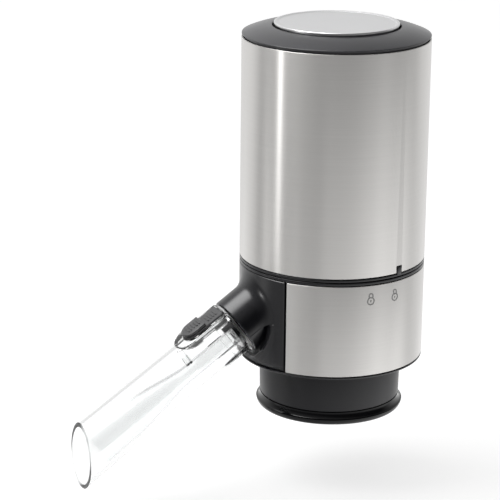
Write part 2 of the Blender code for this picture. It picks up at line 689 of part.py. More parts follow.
def lower_housing():
    inner_edge = PANEL_RADIUS - HOUSING_EDGE_ROUND
    rim_top = HOUSING_BASE + HOUSING_RIM_HEIGHT
    profile = [
        (0.0, HOUSING_BASE),
        (inner_edge, HOUSING_BASE),
        (PANEL_RADIUS, HOUSING_BASE + HOUSING_EDGE_ROUND),
        (PANEL_RADIUS, rim_top),
        (HOUSING_RADIUS, rim_top),
        (HOUSING_RADIUS, LOWER_SLEEVE_TOP),
        (HOUSING_INNER_RADIUS, LOWER_SLEEVE_TOP),
        (HOUSING_INNER_RADIUS, HOUSING_FLOOR_TOP),
        (0.0, HOUSING_FLOOR_TOP),
    ]
    housing = turned_object("lower_housing", profile, black_plastic())
    posts = bmesh.new()
    holes = bmesh.new()
    for angle in POST_ANGLES:
        place = on_ring(POST_RING_RADIUS, angle)
        foot = HOUSING_FLOOR_TOP - BITE
        cylinder(posts, POST_RADIUS, foot, LOWER_SLEEVE_TOP, SMALL_SEGMENTS, place)
        hole_base = DECK_TOP - SCREW_HEAD_HEIGHT - SCREW_LENGTH - CLEARANCE
        hole_radius = SCREW_SHANK_RADIUS + CLEARANCE
        cylinder(holes, hole_radius, hole_base, LOWER_SLEEVE_TOP + OVERRUN, WIRE_SEGMENTS, place)
    join(housing, add_cutter("screw_posts", posts))
    cut(housing, add_cutter("post_holes", holes))
    slot = bmesh.new()
    slot_profile = [
        (HOUSING_INNER_RADIUS - CLEARANCE, LOWER_SLEEVE_BASE),
        (HOUSING_RADIUS + OVERRUN, LOWER_SLEEVE_BASE),
        (HOUSING_RADIUS + OVERRUN, LOWER_SLEEVE_TOP + OVERRUN),
        (HOUSING_INNER_RADIUS - CLEARANCE, LOWER_SLEEVE_TOP + OVERRUN),
    ]
    slot_half = PANEL_HALF_ANGLE + CLEARANCE / HOUSING_RADIUS
    turn(slot, slot_profile, PANEL_STEPS, 2 * slot_half, -QUARTER_TURN - slot_half)
    cut(housing, add_cutter("panel_slot", slot))
    cut(housing, port_cutter("housing_ports", HOUSING_BASE - OVERRUN, HOUSING_FLOOR_TOP + OVERRUN))


def lower_sleeve():
    profile = [
        (SLEEVE_INNER_RADIUS, LOWER_SLEEVE_BASE),
        (BODY_RADIUS, LOWER_SLEEVE_BASE),
        (BODY_RADIUS, LOWER_SLEEVE_TOP),
        (SLEEVE_INNER_RADIUS, LOWER_SLEEVE_TOP),
    ]
    half_gap = PANEL_HALF_ANGLE + PANEL_GAP_ANGLE
    turned_object(
        "lower_sleeve",
        profile,
        brushed_steel(),
        sweep=FULL_TURN - 2 * half_gap,
        start=-QUARTER_TURN + half_gap,
    )


def spout_axis():
    """The empty whose +Z runs out along the spout and whose +Y is the spout's upper side."""
    place = (0.0, 0.0, SPOUT_ROOT_HEIGHT)
    return add_empty("spout_axis", place, (QUARTER_TURN + SPOUT_TILT, 0.0, 0.0))


def surface_reach(x, y, radius):
    """How far along the spout's axis a line at (x, y) beside it meets the upright cylinder."""
    return (math.sqrt(radius * radius - x * x) - y * math.sin(SPOUT_TILT)) / math.cos(SPOUT_TILT)


def boss_ring(radius, lift, skin_radius, segments):
    """A ring round the spout's axis that lies lift in front of the upright cylinder."""
    points = []
    for a in angles(segments):
        x, y = radius * math.cos(a), radius * math.sin(a)
        reach = min(surface_reach(x, y, skin_radius) + lift, BOSS_REACH - BOSS_FILLET - BITE)
        points.append((x, y, reach))
    return points


def spout_panel(axis):
    inner = HOUSING_INNER_RADIUS
    base = LOWER_SLEEVE_BASE + CLEARANCE
    profile = [
        (inner, base),
        (PANEL_RADIUS, base),
        (PANEL_RADIUS, LOWER_SLEEVE_TOP),
        (inner, LOWER_SLEEVE_TOP),
    ]
    panel = turned_object(
        "spout_panel",
        profile,
        black_plastic(),
        PANEL_STEPS,
        sweep=2 * PANEL_HALF_ANGLE,
        start=-QUARTER_TURN - PANEL_HALF_ANGLE,
    )
    segments = BOSS_SEGMENTS
    root_radius = PANEL_RADIUS - BITE
    rings = [boss_ring(BOSS_RADIUS + BOSS_FILLET, -BITE, root_radius, segments)]
    for i in range(BOSS_FILLET_STEPS + 1):
        a = QUARTER_TURN * i / BOSS_FILLET_STEPS
        radius = BOSS_RADIUS + BOSS_FILLET * (1 - math.sin(a))
        rings.append(boss_ring(radius, BOSS_FILLET * (1 - math.cos(a)), root_radius, segments))
    rings.append(circle(BOSS_RADIUS, BOSS_REACH - BOSS_MOUTH_ROUND, segments))
    rings.append(circle(BOSS_RADIUS - BOSS_MOUTH_ROUND, BOSS_REACH, segments))
    boss = add_cutter("boss_shape", skin(rings), axis)
    join(panel, boss)
    bore = bmesh.new()
    bore_start = SOCKET_BACK - CLEARANCE
    cylinder(bore, BOSS_BORE_RADIUS, bore_start, BOSS_REACH + OVERRUN, PIECE_SEGMENTS)
    cut(panel, add_cutter("boss_bore", bore, axis))
    relief = bmesh.new()
    relief_radius = SPOUT_FLANGE_RADIUS + CLEARANCE
    cylinder(relief, relief_radius, BOSS_REACH, BOSS_REACH + BOSS_RADIUS, PIECE_SEGMENTS)
    cut(panel, add_cutter("flange_relief", relief, axis))


# Wine path inside the body


def spout_socket(axis):
    wall = SOCKET_BACK + SOCKET_BACK_WALL
    profile = [
        (0.0, SOCKET_BACK),
        (SOCKET_RADIUS, SOCKET_BACK),
        (SOCKET_RADIUS, SOCKET_FRONT),
        (SOCKET_BORE_RADIUS, SOCKET_FRONT),
        (SOCKET_BORE_RADIUS, wall),
        (0.0, wall),
    ]
    socket = turned_object("spout_socket", profile, grey_plastic(), PIECE_SEGMENTS, axis)
    centre = (0.0, -CHANNEL_DROP)
    spigot = bmesh.new()
    start = SOCKET_BACK - SPIGOT_LENGTH
    cylinder(spigot, SPIGOT_RADIUS, start, SOCKET_BACK + BITE, SMALL_SEGMENTS, centre)
    join(socket, add_cutter("socket_spigot", spigot, axis))
    bore = bmesh.new()
    end = wall + OVERRUN
    cylinder(bore, CHANNEL_BORE_RADIUS, start - OVERRUN, end, SMALL_SEGMENTS, centre)
    cut(socket, add_cutter("socket_bore", bore, axis))


def straw_nipple():
    """The barb that a straw pushes on, standing down into the bottle's mouth."""
    flange_base = HOUSING_FLOOR_TOP + CLEARANCE
    flange_top = flange_base + NIPPLE_FLANGE_HEIGHT
    barb_top = NIPPLE_REACH + NIPPLE_RADIUS
    profile = [
        (CHANNEL_BORE_RADIUS, NIPPLE_REACH),
        (NIPPLE_TIP_RADIUS, NIPPLE_REACH),
        (NIPPLE_RADIUS, barb_top),
        (NIPPLE_RADIUS, flange_base),
        (NIPPLE_FLANGE_RADIUS, flange_base),
        (NIPPLE_FLANGE_RADIUS, flange_top),
        (SPIGOT_RADIUS, flange_top),
        (SPIGOT_RADIUS, flange_top + SPIGOT_LENGTH),
        (CHANNEL_BORE_RADIUS, flange_top + SPIGOT_LENGTH),
    ]
    centre = (0.0, -NIPPLE_OFFSET)
    turned_object("straw_nipple", profile, grey_plastic(), SMALL_SEGMENTS, centre=centre)


def spout_point(side, up, reach):
    """World place of a point given beside, above and along the spout's axis."""
    along = Vector((0.0, -math.cos(SPOUT_TILT), -math.sin(SPOUT_TILT)))
    above = Vector((0.0, -math.sin(SPOUT_TILT), math.cos(SPOUT_TILT)))
    root = Vector((0.0, 0.0, SPOUT_ROOT_HEIGHT))
    return root + Vector((side, 0.0, 0.0)) + above * up + along * reach


def swept_tube(points, outer, inner, segments):
    """A hollow tube along a path that lies in the plane of Y and Z."""
    rings = []
    for radius in (outer, inner):
        run = []
        for i, point in enumerate(points):
            ahead = points[min(i + 1, len(points) - 1)] - points[max(i - 1, 0)]
            across = Vector((1.0, 0.0, 0.0))
            third = ahead.normalized().cross(across)
            places = [on_ring(radius, a) for a in angles(segments)]
            run.append([point + across * x + third * y for x, y in places])
        rings += run if radius == outer else run[::-1]
    return skin(rings, loop=True)


def wine_pipe():
    """The soft bend from the straw nipple up and over into the back of the spout socket."""
    low_end = HOUSING_FLOOR_TOP + NIPPLE_FLANGE_HEIGHT + CLEARANCE + CLEARANCE
    far = SOCKET_BACK - CLEARANCE
    near = SOCKET_BACK - SPIGOT_LENGTH
    start = Vector((0.0, -NIPPLE_OFFSET, low_end))
    rise = Vector((0.0, -NIPPLE_OFFSET, low_end + SPIGOT_LENGTH))
    fall = spout_point(0.0, -CHANNEL_DROP, near)
    end = spout_point(0.0, -CHANNEL_DROP, far)
    lift = (fall.z - rise.z) * PIPE_RISE_SHARE
    reach = (fall - rise).length * PIPE_REACH_SHARE
    first = rise + Vector((0.0, 0.0, lift))
    second = fall - (end - fall).normalized() * reach
    points = [start]
    for i in range(PIPE_STEPS + 1):
        t = i / PIPE_STEPS
        ends = rise * (1 - t) ** 3 + fall * t**3
        points.append(ends + first * 3 * t * (1 - t) ** 2 + second * 3 * t * t * (1 - t))
    points.append(end)
    tube = swept_tube(points, PIPE_RADIUS, PIPE_BORE_RADIUS, PIPE_SIDES)
    add_object("wine_pipe", tube, silicone_rubber())


# Air pump


def pump_head():
    centre = (0.0, PUMP_OFFSET)
    top = PUMP_HEAD_BASE + PUMP_HEAD_HEIGHT
    bm = bmesh.new()
    cylinder(bm, PUMP_RADIUS, PUMP_HEAD_BASE, top, PIECE_SEGMENTS, centre)
    head = add_object("pump_head", bm, grey_plastic())
    outlet = bmesh.new()
    place = (0.0, PUMP_OUTLET_OFFSET)
    outlet_base = NECK_HEIGHT - NECK_TOP_WALL - SEAL_TOP_WALL - PUMP_OUTLET_DROP
    cylinder(outlet, PUMP_OUTLET_RADIUS, outlet_base, PUMP_HEAD_BASE + BITE, SMALL_SEGMENTS, place)
    join(head, add_cutter("outlet_spigot", outlet))
    bore = bmesh.new()
    bore_base = outlet_base - OVERRUN
    cylinder(bore, PUMP_OUTLET_BORE_RADIUS, bore_base, top + OVERRUN, WIRE_SEGMENTS, place)
    cut(head, add_cutter("outlet_bore", bore))


def pump_valve_plate():
    bm = bmesh.new()
    centre = (0.0, PUMP_OFFSET)
    top = VALVE_PLATE_BASE + VALVE_PLATE_HEIGHT
    cylinder(bm, PUMP_RADIUS, VALVE_PLATE_BASE, top, PIECE_SEGMENTS, centre)
    plate = add_object("pump_valve_plate", bm, clear_plastic())
    holes = bmesh.new()
    low, high = VALVE_PLATE_BASE - OVERRUN, top + OVERRUN
    for place in chamber_places():
        cylinder(holes, PUMP_OUTLET_BORE_RADIUS, low, high, WIRE_SEGMENTS, place)
    cut(plate, add_cutter("valve_holes", holes))


def chamber_places():
    places = []
    for a in angles(PUMP_CHAMBERS, QUARTER_TURN):
        x, y = on_ring(PUMP_CUP_RING_RADIUS, a)
        places.append((x, y + PUMP_OFFSET))
    return places


def pump_diaphragm():
    bm = bmesh.new()
    top = DIAPHRAGM_BASE + DIAPHRAGM_HEIGHT
    cylinder(bm, PUMP_RADIUS, DIAPHRAGM_BASE, top, PIECE_SEGMENTS, (0.0, PUMP_OFFSET))
    sheet = add_object("pump_diaphragm", bm, silicone_rubber())
    cups = bmesh.new()
    for place in chamber_places():
        cup_top = top + DIAPHRAGM_CUP_HEIGHT
        cylinder(cups, DIAPHRAGM_CUP_RADIUS, top - BITE, cup_top, SMALL_SEGMENTS, place)
    join(sheet, add_cutter("diaphragm_cups", cups))


def pump_frame():
    """The barrel between diaphragm and motor, open below, with a hole in its roof for the shaft."""
    inner = PUMP_RADIUS - PUMP_FRAME_WALL
    roof = PUMP_FRAME_TOP - PUMP_FRAME_TOP_WALL
    hole = MOTOR_NOSE_RADIUS + CLEARANCE
    profile = [
        (inner, PUMP_FRAME_BASE),
        (PUMP_RADIUS, PUMP_FRAME_BASE),
        (PUMP_RADIUS, PUMP_FRAME_TOP),
        (hole, PUMP_FRAME_TOP),
        (hole, roof),
        (inner, roof),
    ]
    turned_object("pump_frame", profile, grey_plastic(), PIECE_SEGMENTS, centre=(0.0, PUMP_OFFSET))


def wobble_plate():
    """The three-armed plate that the eccentric rocks to work the diaphragm's cups."""
    base = DIAPHRAGM_BASE + DIAPHRAGM_HEIGHT + DIAPHRAGM_CUP_HEIGHT + CLEARANCE
    bm = bmesh.new()
    top = base + WOBBLE_HUB_HEIGHT
    cylinder(bm, WOBBLE_HUB_RADIUS, base, top, SMALL_SEGMENTS, (0.0, PUMP_OFFSET))
    plate = add_object("wobble_plate", bm, grey_plastic())
    arms = bmesh.new()
    for a in angles(PUMP_CHAMBERS, QUARTER_TURN):
        arm = bmesh.new()
        half = WOBBLE_ARM_WIDTH / 2
        far = (PUMP_CUP_RING_RADIUS, half, base + WOBBLE_ARM_HEIGHT)
        box(arm, (WOBBLE_ARM_START, -half, base), far)
        bmesh.ops.rotate(arm, verts=arm.verts, matrix=Matrix.Rotation(a, 3, "Z"))
        bmesh.ops.translate(arm, verts=arm.verts, vec=(0.0, PUMP_OFFSET, 0.0))
        append(arms, arm)
    join(plate, add_cutter("wobble_arms", arms))
    pads = bmesh.new()
    for place in chamber_places():
        cylinder(pads, WOBBLE_PAD_RADIUS, base, base + WOBBLE_HUB_HEIGHT, SMALL_SEGMENTS, place)
    join(plate, add_cutter("wobble_pads", pads))


def motor_can():
    """The motor's can, solid but for the bearing hole that the shaft turns in."""
    top = MOTOR_BASE + MOTOR_HEIGHT
    bore = SHAFT_RADIUS + CLEARANCE
    shaft_top = SHAFT_BASE + SHAFT_LENGTH
    profile = [
        (0.0, shaft_top + CLEARANCE),
        (bore, shaft_top + CLEARANCE),
        (bore, MOTOR_BASE - MOTOR_NOSE_HEIGHT),
        (MOTOR_NOSE_RADIUS, MOTOR_BASE - MOTOR_NOSE_HEIGHT),
        (MOTOR_NOSE_RADIUS, MOTOR_BASE),
        (MOTOR_RADIUS, MOTOR_BASE),
        (MOTOR_RADIUS, top - MOTOR_EDGE_ROUND),
        (MOTOR_RADIUS - MOTOR_EDGE_ROUND, top),
        (0.0, top),
    ]
    turned_object("motor_can", profile, spring_steel(), PIECE_SEGMENTS, centre=(0.0, PUMP_OFFSET))


def motor_axis():
    return add_empty("motor_axis", (0.0, PUMP_OFFSET, SHAFT_BASE))


def motor_shaft(axis):
    bm = bmesh.new()
    cylinder(bm, SHAFT_RADIUS, 0.0, SHAFT_LENGTH, SMALL_SEGMENTS)
    add_object("motor_shaft", bm, spring_steel(), axis)


def pump_eccentric(axis):
    bm = bmesh.new()
    cylinder(bm, ECCENTRIC_RADIUS, 0.0, ECCENTRIC_HEIGHT, SMALL_SEGMENTS, (ECCENTRIC_THROW, 0.0))
    eccentric = add_object("pump_eccentric", bm, black_plastic(), axis)
    hole = bmesh.new()
    cylinder(hole, SHAFT_RADIUS + CLEARANCE, -OVERRUN, ECCENTRIC_HEIGHT + OVERRUN, SMALL_SEGMENTS)
    cut(eccentric, add_cutter("eccentric_hole", hole, axis))


# Deck, batteries, board and switch


def bayonet_lug(bm, inner, outer, low, high, middle):
    """One bayonet lug."""
    profile = [(inner, low), (outer, low), (outer, high), (inner, high)]
    turn(bm, profile, ROUND_STEPS, BAYONET_LUG_SPAN, middle - BAYONET_LUG_SPAN / 2)


def bayonet_deck():
    spigot_radius = HOUSING_INNER_RADIUS - CLEARANCE
    spigot_inner = spigot_radius - DECK_SPIGOT_WALL
    collar_top = DECK_TOP + COLLAR_HEIGHT
    profile = [
        (DECK_WIRE_RADIUS, DECK_BASE),
        (spigot_inner, DECK_BASE),
        (spigot_inner, DECK_BASE - DECK_SPIGOT_DEPTH),
        (spigot_radius, DECK_BASE - DECK_SPIGOT_DEPTH),
        (spigot_radius, DECK_BASE),
        (PANEL_RADIUS, DECK_BASE),
        (PANEL_RADIUS, DECK_SEAM_TOP),
        (COLLAR_RADIUS, DECK_SEAM_TOP),
        (COLLAR_RADIUS, collar_top),
        (COLLAR_INNER_RADIUS, collar_top),
        (COLLAR_INNER_RADIUS, DECK_TOP),
        (DECK_WIRE_RADIUS, DECK_TOP),
    ]
    deck = turned_object("bayonet_deck", profile, black_plastic())
    lugs = bmesh.new()
    for a in angles(BAYONET_LUGS, QUARTER_TURN):
        top = COLLAR_LUG_BASE + BAYONET_LUG_HEIGHT
        inner = COLLAR_RADIUS - BITE
        bayonet_lug(lugs, inner, COLLAR_LUG_RADIUS, COLLAR_LUG_BASE, top, a)
    join(deck, add_cutter("collar_lugs", lugs))
    holes = bmesh.new()
    for angle in POST_ANGLES:
        place = on_ring(POST_RING_RADIUS, angle)
        seat = DECK_TOP - SCREW_HEAD_HEIGHT - CLEARANCE
        head = SCREW_HEAD_RADIUS + CLEARANCE
        shank = SCREW_SHANK_RADIUS + CLEARANCE
        stepped = [(0.0, DECK_BASE - OVERRUN), (shank, DECK_BASE - OVERRUN), (shank, seat)]
        stepped += [(head, seat), (head, DECK_TOP + OVERRUN), (0.0, DECK_TOP + OVERRUN)]
        turn(holes, stepped, SMALL_SEGMENTS, centre=place)
    cut(deck, add_cutter("deck_holes", holes))


def deck_screw(number, angle):
    """One screw, with a straight slot, through the deck into its post."""
    head_top = DECK_TOP - CLEARANCE
    head_base = head_top - SCREW_HEAD_HEIGHT + CLEARANCE
    tip = head_base - SCREW_LENGTH
    taper = tip + SCREW_SHANK_RADIUS
    profile = [
        (0.0, tip),
        (SCREW_SHANK_RADIUS, taper),
        (SCREW_SHANK_RADIUS, head_base),
        (SCREW_HEAD_RADIUS, head_base),
        (SCREW_HEAD_RADIUS, head_top),
        (0.0, head_top),
    ]
    place = on_ring(POST_RING_RADIUS, angle)
    name = f"deck_screw_{number}"
    screw = turned_object(name, profile, spring_steel(), WIRE_SEGMENTS, centre=place)
    slot = bmesh.new()
    half = SCREW_SLOT_WIDTH / 2
    low = (place[0] - SCREW_HEAD_RADIUS - OVERRUN, place[1] - half, head_top - SCREW_SLOT_DEPTH)
    high = (place[0] + SCREW_HEAD_RADIUS + OVERRUN, place[1] + half, head_top + OVERRUN)
    box(slot, low, high)
    cut(screw, add_cutter(f"screw_slot_{number}", slot))


def pocket_outline():
    """The spine's cross-section: a round with one open pocket for each cell."""
    pocket = CELL_RADIUS + CLEARANCE
    beyond = CRADLE_SPINE_RADIUS**2 - CELL_RING_RADIUS**2 - pocket**2
    opening = math.acos(beyond / (2 * CELL_RING_RADIUS * pocket))
    points = []
    for a in angles(CELL_COUNT):
        centre = Vector(on_ring(CELL_RING_RADIUS, a))
        for i in range(POCKET_STEPS + 1):
            turn_to = a - opening - (FULL_TURN - 2 * opening) * i / POCKET_STEPS
            points.append(centre + Vector(on_ring(pocket, turn_to)))
        land = points[-1]
        land_angle = math.atan2(land.y, land.x)
        middle = a + math.pi / CELL_COUNT
        for share in LAND_SHARES:
            at = land_angle + ((middle - land_angle) % FULL_TURN) * 2 * share
            points.append(Vector(on_ring(CRADLE_SPINE_RADIUS, at)))
    return points


def battery_cradle():
    bm = bmesh.new()
    base_top = CRADLE_BASE + CRADLE_PLATE
    cylinder(bm, CRADLE_RADIUS, CRADLE_BASE, base_top, PIECE_SEGMENTS)
    cradle = add_object("battery_cradle", bm, black_plastic())
    core = bmesh.new()
    cylinder(core, CRADLE_CORE_RADIUS, base_top - BITE, CRADLE_ROOF_BASE + BITE, PIECE_SEGMENTS)
    join(cradle, add_cutter("cradle_core", core))
    outline = pocket_outline()
    spine = skin([[(p.x, p.y, z) for p in outline] for z in (CELL_BASE, CELL_TOP)])
    join(cradle, add_cutter("cradle_spine", spine))
    roof = bmesh.new()
    cylinder(roof, CRADLE_RADIUS, CRADLE_ROOF_BASE, CRADLE_ROOF_TOP, PIECE_SEGMENTS)
    join(cradle, add_cutter("cradle_roof", roof))
    posts = bmesh.new()
    for a in angles(BOARD_POSTS, QUARTER_TURN):
        place = on_ring(BOARD_POST_RING_RADIUS, a)
        top = CRADLE_ROOF_TOP + BOARD_POST_HEIGHT
        cylinder(posts, BOARD_POST_RADIUS, CRADLE_ROOF_TOP - BITE, top, SMALL_SEGMENTS, place)
    join(cradle, add_cutter("board_posts", posts))
    well = bmesh.new()
    low, high = CRADLE_BASE - OVERRUN, CRADLE_ROOF_TOP + OVERRUN
    cylinder(well, CRADLE_WELL_RADIUS, low, high, PIECE_SEGMENTS)
    cut(cradle, add_cutter("cradle_well", well))


def aaa_cell(number, angle):
    """One cell. Every second cell stands on its head, so that the cells are in series."""
    profile = [
        (0.0, 0.0),
        (CELL_RADIUS - CELL_EDGE_ROUND, 0.0),
        (CELL_RADIUS, CELL_EDGE_ROUND),
        (CELL_RADIUS, CELL_LENGTH - CELL_NUB_HEIGHT - CELL_EDGE_ROUND),
        (CELL_RADIUS - CELL_EDGE_ROUND, CELL_LENGTH - CELL_NUB_HEIGHT),
        (CELL_NUB_RADIUS, CELL_LENGTH - CELL_NUB_HEIGHT),
        (CELL_NUB_RADIUS, CELL_LENGTH),
        (0.0, CELL_LENGTH),
    ]
    cell = turned_object(f"aaa_cell_{number}", profile, cell_jacket(), SMALL_SEGMENTS)
    x, y = on_ring(CELL_RING_RADIUS, angle)
    cell.location = (x, y, CELL_BASE)
    if number % 2 == 0:
        cell.location.z = CELL_TOP
        cell.rotation_euler.x = math.pi


def contact_plate(name, cells, base, side):
    """A stamped plate that joins the ends of the cells at the given angles, with a bump at each."""
    bm = bmesh.new()
    places = [Vector(on_ring(CELL_RING_RADIUS, a)) for a in cells]
    heading = QUARTER_TURN + (cells[0] + cells[-1]) / 2
    half_length = (places[-1] - places[0]).length / 2 + CONTACT_HALF_WIDTH
    middle = (places[0] + places[-1]) / 2
    far_corner = (half_length, CONTACT_HALF_WIDTH, base + CONTACT_THICKNESS)
    box(bm, (-half_length, -CONTACT_HALF_WIDTH, base), far_corner)
    bmesh.ops.rotate(bm, verts=bm.verts, matrix=Matrix.Rotation(heading, 3, "Z"))
    bmesh.ops.translate(bm, verts=bm.verts, vec=(*middle, 0.0))
    plate = add_object(name, bm, plated_contact())
    bumps = bmesh.new()
    for place in places:
        low = base + BITE / 2 if side > 0 else base - CONTACT_BUMP_HEIGHT
        high = base + CONTACT_THICKNESS + CONTACT_BUMP_HEIGHT if side > 0 else base + BITE / 2
        cylinder(bumps, CONTACT_BUMP_RADIUS, low, high, WIRE_SEGMENTS, place)
    join(plate, add_cutter(name + "_bumps", bumps))


def cell_contacts():
    """Three bridges under the cells and two above, with the battery's two ends beside them."""
    stops = angles(CELL_COUNT)
    for number in range(3):
        pair = stops[2 * number : 2 * number + 2]
        contact_plate(f"cell_bridge_low_{number + 1}", pair, CONTACT_LOW_BASE, 1)
    for number in range(2):
        pair = stops[2 * number + 1 : 2 * number + 3]
        contact_plate(f"cell_bridge_high_{number + 1}", pair, CONTACT_HIGH_BASE, -1)
    contact_plate("cell_terminal_plus", stops[:1], CONTACT_HIGH_BASE, -1)
    contact_plate("cell_terminal_minus", stops[-1:], CONTACT_HIGH_BASE, -1)


def circuit_board():
    bm = bmesh.new()
    cylinder(bm, BOARD_RADIUS, BOARD_BASE, BOARD_TOP, PIECE_SEGMENTS)
    add_object("circuit_board", bm, board_laminate())


def switch_body():
    bm = bmesh.new()
    half = SWITCH_HALF_WIDTH
    box(bm, (-half, -half, SWITCH_BASE), (half, half, SWITCH_TOP))
    body = add_object("switch_body", bm, black_plastic())
    well = bmesh.new()
    radius = SWITCH_PLUNGER_RADIUS + CLEARANCE
    cylinder(well, radius, SWITCH_WELL_BASE, SWITCH_TOP + OVERRUN, SMALL_SEGMENTS)
    cut(body, add_cutter("switch_well", well))


def switch_plunger():
    height = PLUNGER_TOP - PLUNGER_BASE
    bm = bmesh.new()
    cylinder(bm, SWITCH_PLUNGER_RADIUS, 0.0, height, SMALL_SEGMENTS)
    plunger = add_object("switch_plunger", bm, gloss_black_plastic())
    plunger.location.z = PLUNGER_BASE


# Cover and button


def upper_sleeve():
    profile = [
        (SLEEVE_INNER_RADIUS, UPPER_SLEEVE_BASE),
        (BODY_RADIUS, UPPER_SLEEVE_BASE),
        (BODY_RADIUS, UPPER_SLEEVE_TOP),
        (SLEEVE_INNER_RADIUS, UPPER_SLEEVE_TOP),
    ]
    sleeve = turned_object("upper_sleeve", profile, brushed_steel())
    notch = bmesh.new()
    half = INDEX_TAB_WIDTH / 2 + CLEARANCE
    top = INDEX_TOP + INDEX_TAB_HEIGHT + CLEARANCE
    corners = box(
        notch,
        (SLEEVE_INNER_RADIUS - OVERRUN, -half, UPPER_SLEEVE_BASE - OVERRUN),
        (BODY_RADIUS + OVERRUN, half, top),
    )
    bmesh.ops.rotate(notch, verts=corners, matrix=Matrix.Rotation(INDEX_TAB_ANGLE, 3, "Z"))
    cut(sleeve, add_cutter("tab_notch", notch))


def cover_liner():
    profile = [
        (LINER_INNER_RADIUS, UPPER_SLEEVE_BASE),
        (HOUSING_RADIUS, UPPER_SLEEVE_BASE),
        (HOUSING_RADIUS, LINER_TOP),
        (LINER_INNER_RADIUS, LINER_TOP),
    ]
    turned_object("cover_liner", profile, black_plastic())


def index_ring():
    """The cover's bottom ring, with the bayonet's inner lugs and the index tab outside."""
    upstand_top = INDEX_TOP + INDEX_UPSTAND_HEIGHT
    profile = [
        (UPSTAND_INNER_RADIUS, INDEX_BASE),
        (PANEL_RADIUS, INDEX_BASE),
        (PANEL_RADIUS, INDEX_TOP),
        (UPSTAND_RADIUS, INDEX_TOP),
        (UPSTAND_RADIUS, upstand_top),
        (UPSTAND_INNER_RADIUS, upstand_top),
    ]
    ring = turned_object("index_ring", profile, black_plastic())
    lugs = bmesh.new()
    for a in angles(BAYONET_LUGS, QUARTER_TURN):
        inner = COLLAR_RADIUS + CLEARANCE
        top = RING_LUG_BASE + BAYONET_LUG_HEIGHT
        outer = UPSTAND_INNER_RADIUS + BITE
        bayonet_lug(lugs, inner, outer, RING_LUG_BASE, top, a)
    join(ring, add_cutter("ring_lugs", lugs))
    tab = bmesh.new()
    half = INDEX_TAB_WIDTH / 2
    outer = BODY_RADIUS + INDEX_TAB_PROUD
    low = (outer - INDEX_TAB_THICKNESS, -half, INDEX_TOP - BITE)
    corners = box(tab, low, (outer, half, INDEX_TOP + INDEX_TAB_HEIGHT))
    bmesh.ops.rotate(tab, verts=corners, matrix=Matrix.Rotation(INDEX_TAB_ANGLE, 3, "Z"))
    join(ring, add_cutter("index_tab", tab))


def top_bezel():
    """The sloping metal ring round the button, with a skirt that holds it in the cover's liner."""
    skirt = LINER_INNER_RADIUS - CLEARANCE
    skirt_inner = skirt - BEZEL_SKIRT_WALL
    skirt_base = BEZEL_BASE - BEZEL_SKIRT_DEPTH
    web_base = BEZEL_BASE - BEZEL_BASE_THICKNESS
    edge_top = BEZEL_EDGE_BASE + BEZEL_EDGE_HEIGHT
    crown = []
    for share in CROWN_SHARES:
        radius = BEZEL_EDGE_RADIUS + (BEZEL_INNER_RADIUS - BEZEL_EDGE_RADIUS) * share
        rise = BEZEL_RISE * share + BEZEL_CROWN * 4 * share * (1 - share)
        crown.append((radius, edge_top + rise))
    inner_wall = BEZEL_INNER_RADIUS + BEZEL_SKIRT_WALL
    profile = (
        [(BEZEL_INNER_RADIUS, BEZEL_INNER_BASE), (inner_wall, BEZEL_INNER_BASE)]
        + [(inner_wall, web_base), (skirt_inner, web_base), (skirt_inner, skirt_base)]
        + [(skirt, skirt_base), (skirt, BEZEL_BASE), (HOUSING_RADIUS, BEZEL_BASE)]
        + [(HOUSING_RADIUS, BEZEL_EDGE_BASE), (BEZEL_EDGE_RADIUS, BEZEL_EDGE_BASE)]
        + crown
    )
    turned_object("top_bezel", profile, satin_bezel_metal())


def button_guide():
    outer = LINER_INNER_RADIUS - CLEARANCE - BEZEL_SKIRT_WALL - CLEARANCE
    tube_top = GUIDE_TOP + GUIDE_TUBE_RISE
    tube_base = GUIDE_BASE - GUIDE_TUBE_DROP
    profile = [
        (GUIDE_BORE_RADIUS, tube_base),
        (GUIDE_TUBE_RADIUS, tube_base),
        (GUIDE_TUBE_RADIUS, GUIDE_BASE),
        (outer, GUIDE_BASE),
        (outer, GUIDE_TOP),
        (GUIDE_TUBE_RADIUS, GUIDE_TOP),
        (GUIDE_TUBE_RADIUS, tube_top),
        (GUIDE_BORE_RADIUS, tube_top),
    ]
    turned_object("button_guide", profile, black_plastic(), PIECE_SEGMENTS)


def push_button(axis):
    """The dished cap, with a skirt whose foot flange keeps it under the bezel."""
    inner = BUTTON_RADIUS - BUTTON_SKIRT_WALL
    flange = BUTTON_RADIUS + BUTTON_FLANGE_WIDTH
    edge = arc(
        BUTTON_RADIUS - BUTTON_EDGE_ROUND,
        BUTTON_TOP - BUTTON_EDGE_ROUND,
        BUTTON_EDGE_ROUND,
        BUTTON_EDGE_ROUND,
        0.0,
        QUARTER_TURN,
        ROUND_STEPS,
    )
    dish = BUTTON_TOP - BUTTON_DISH
    profile = (
        [(0.0, BUTTON_UNDERSIDE), (inner, BUTTON_UNDERSIDE), (inner, BUTTON_SKIRT_BASE)]
        + [(flange, BUTTON_SKIRT_BASE), (flange, BUTTON_FLANGE_TOP)]
        + [(BUTTON_RADIUS, BUTTON_FLANGE_TOP)]
        + edge
        + [(edge[-1][0] - BUTTON_EDGE_ROUND, dish), (0.0, dish)]
    )
    lowered = [(r, z - BUTTON_TOP) for r, z in profile]
    turned_object("push_button", lowered, button_silver(), parent=axis)


def button_stem(axis):
    bm = bmesh.new()
    cylinder(bm, STEM_RADIUS, STEM_BASE - BUTTON_TOP, STEM_TOP - BUTTON_TOP, SMALL_SEGMENTS)
    add_object("button_stem", bm, black_plastic(), axis)


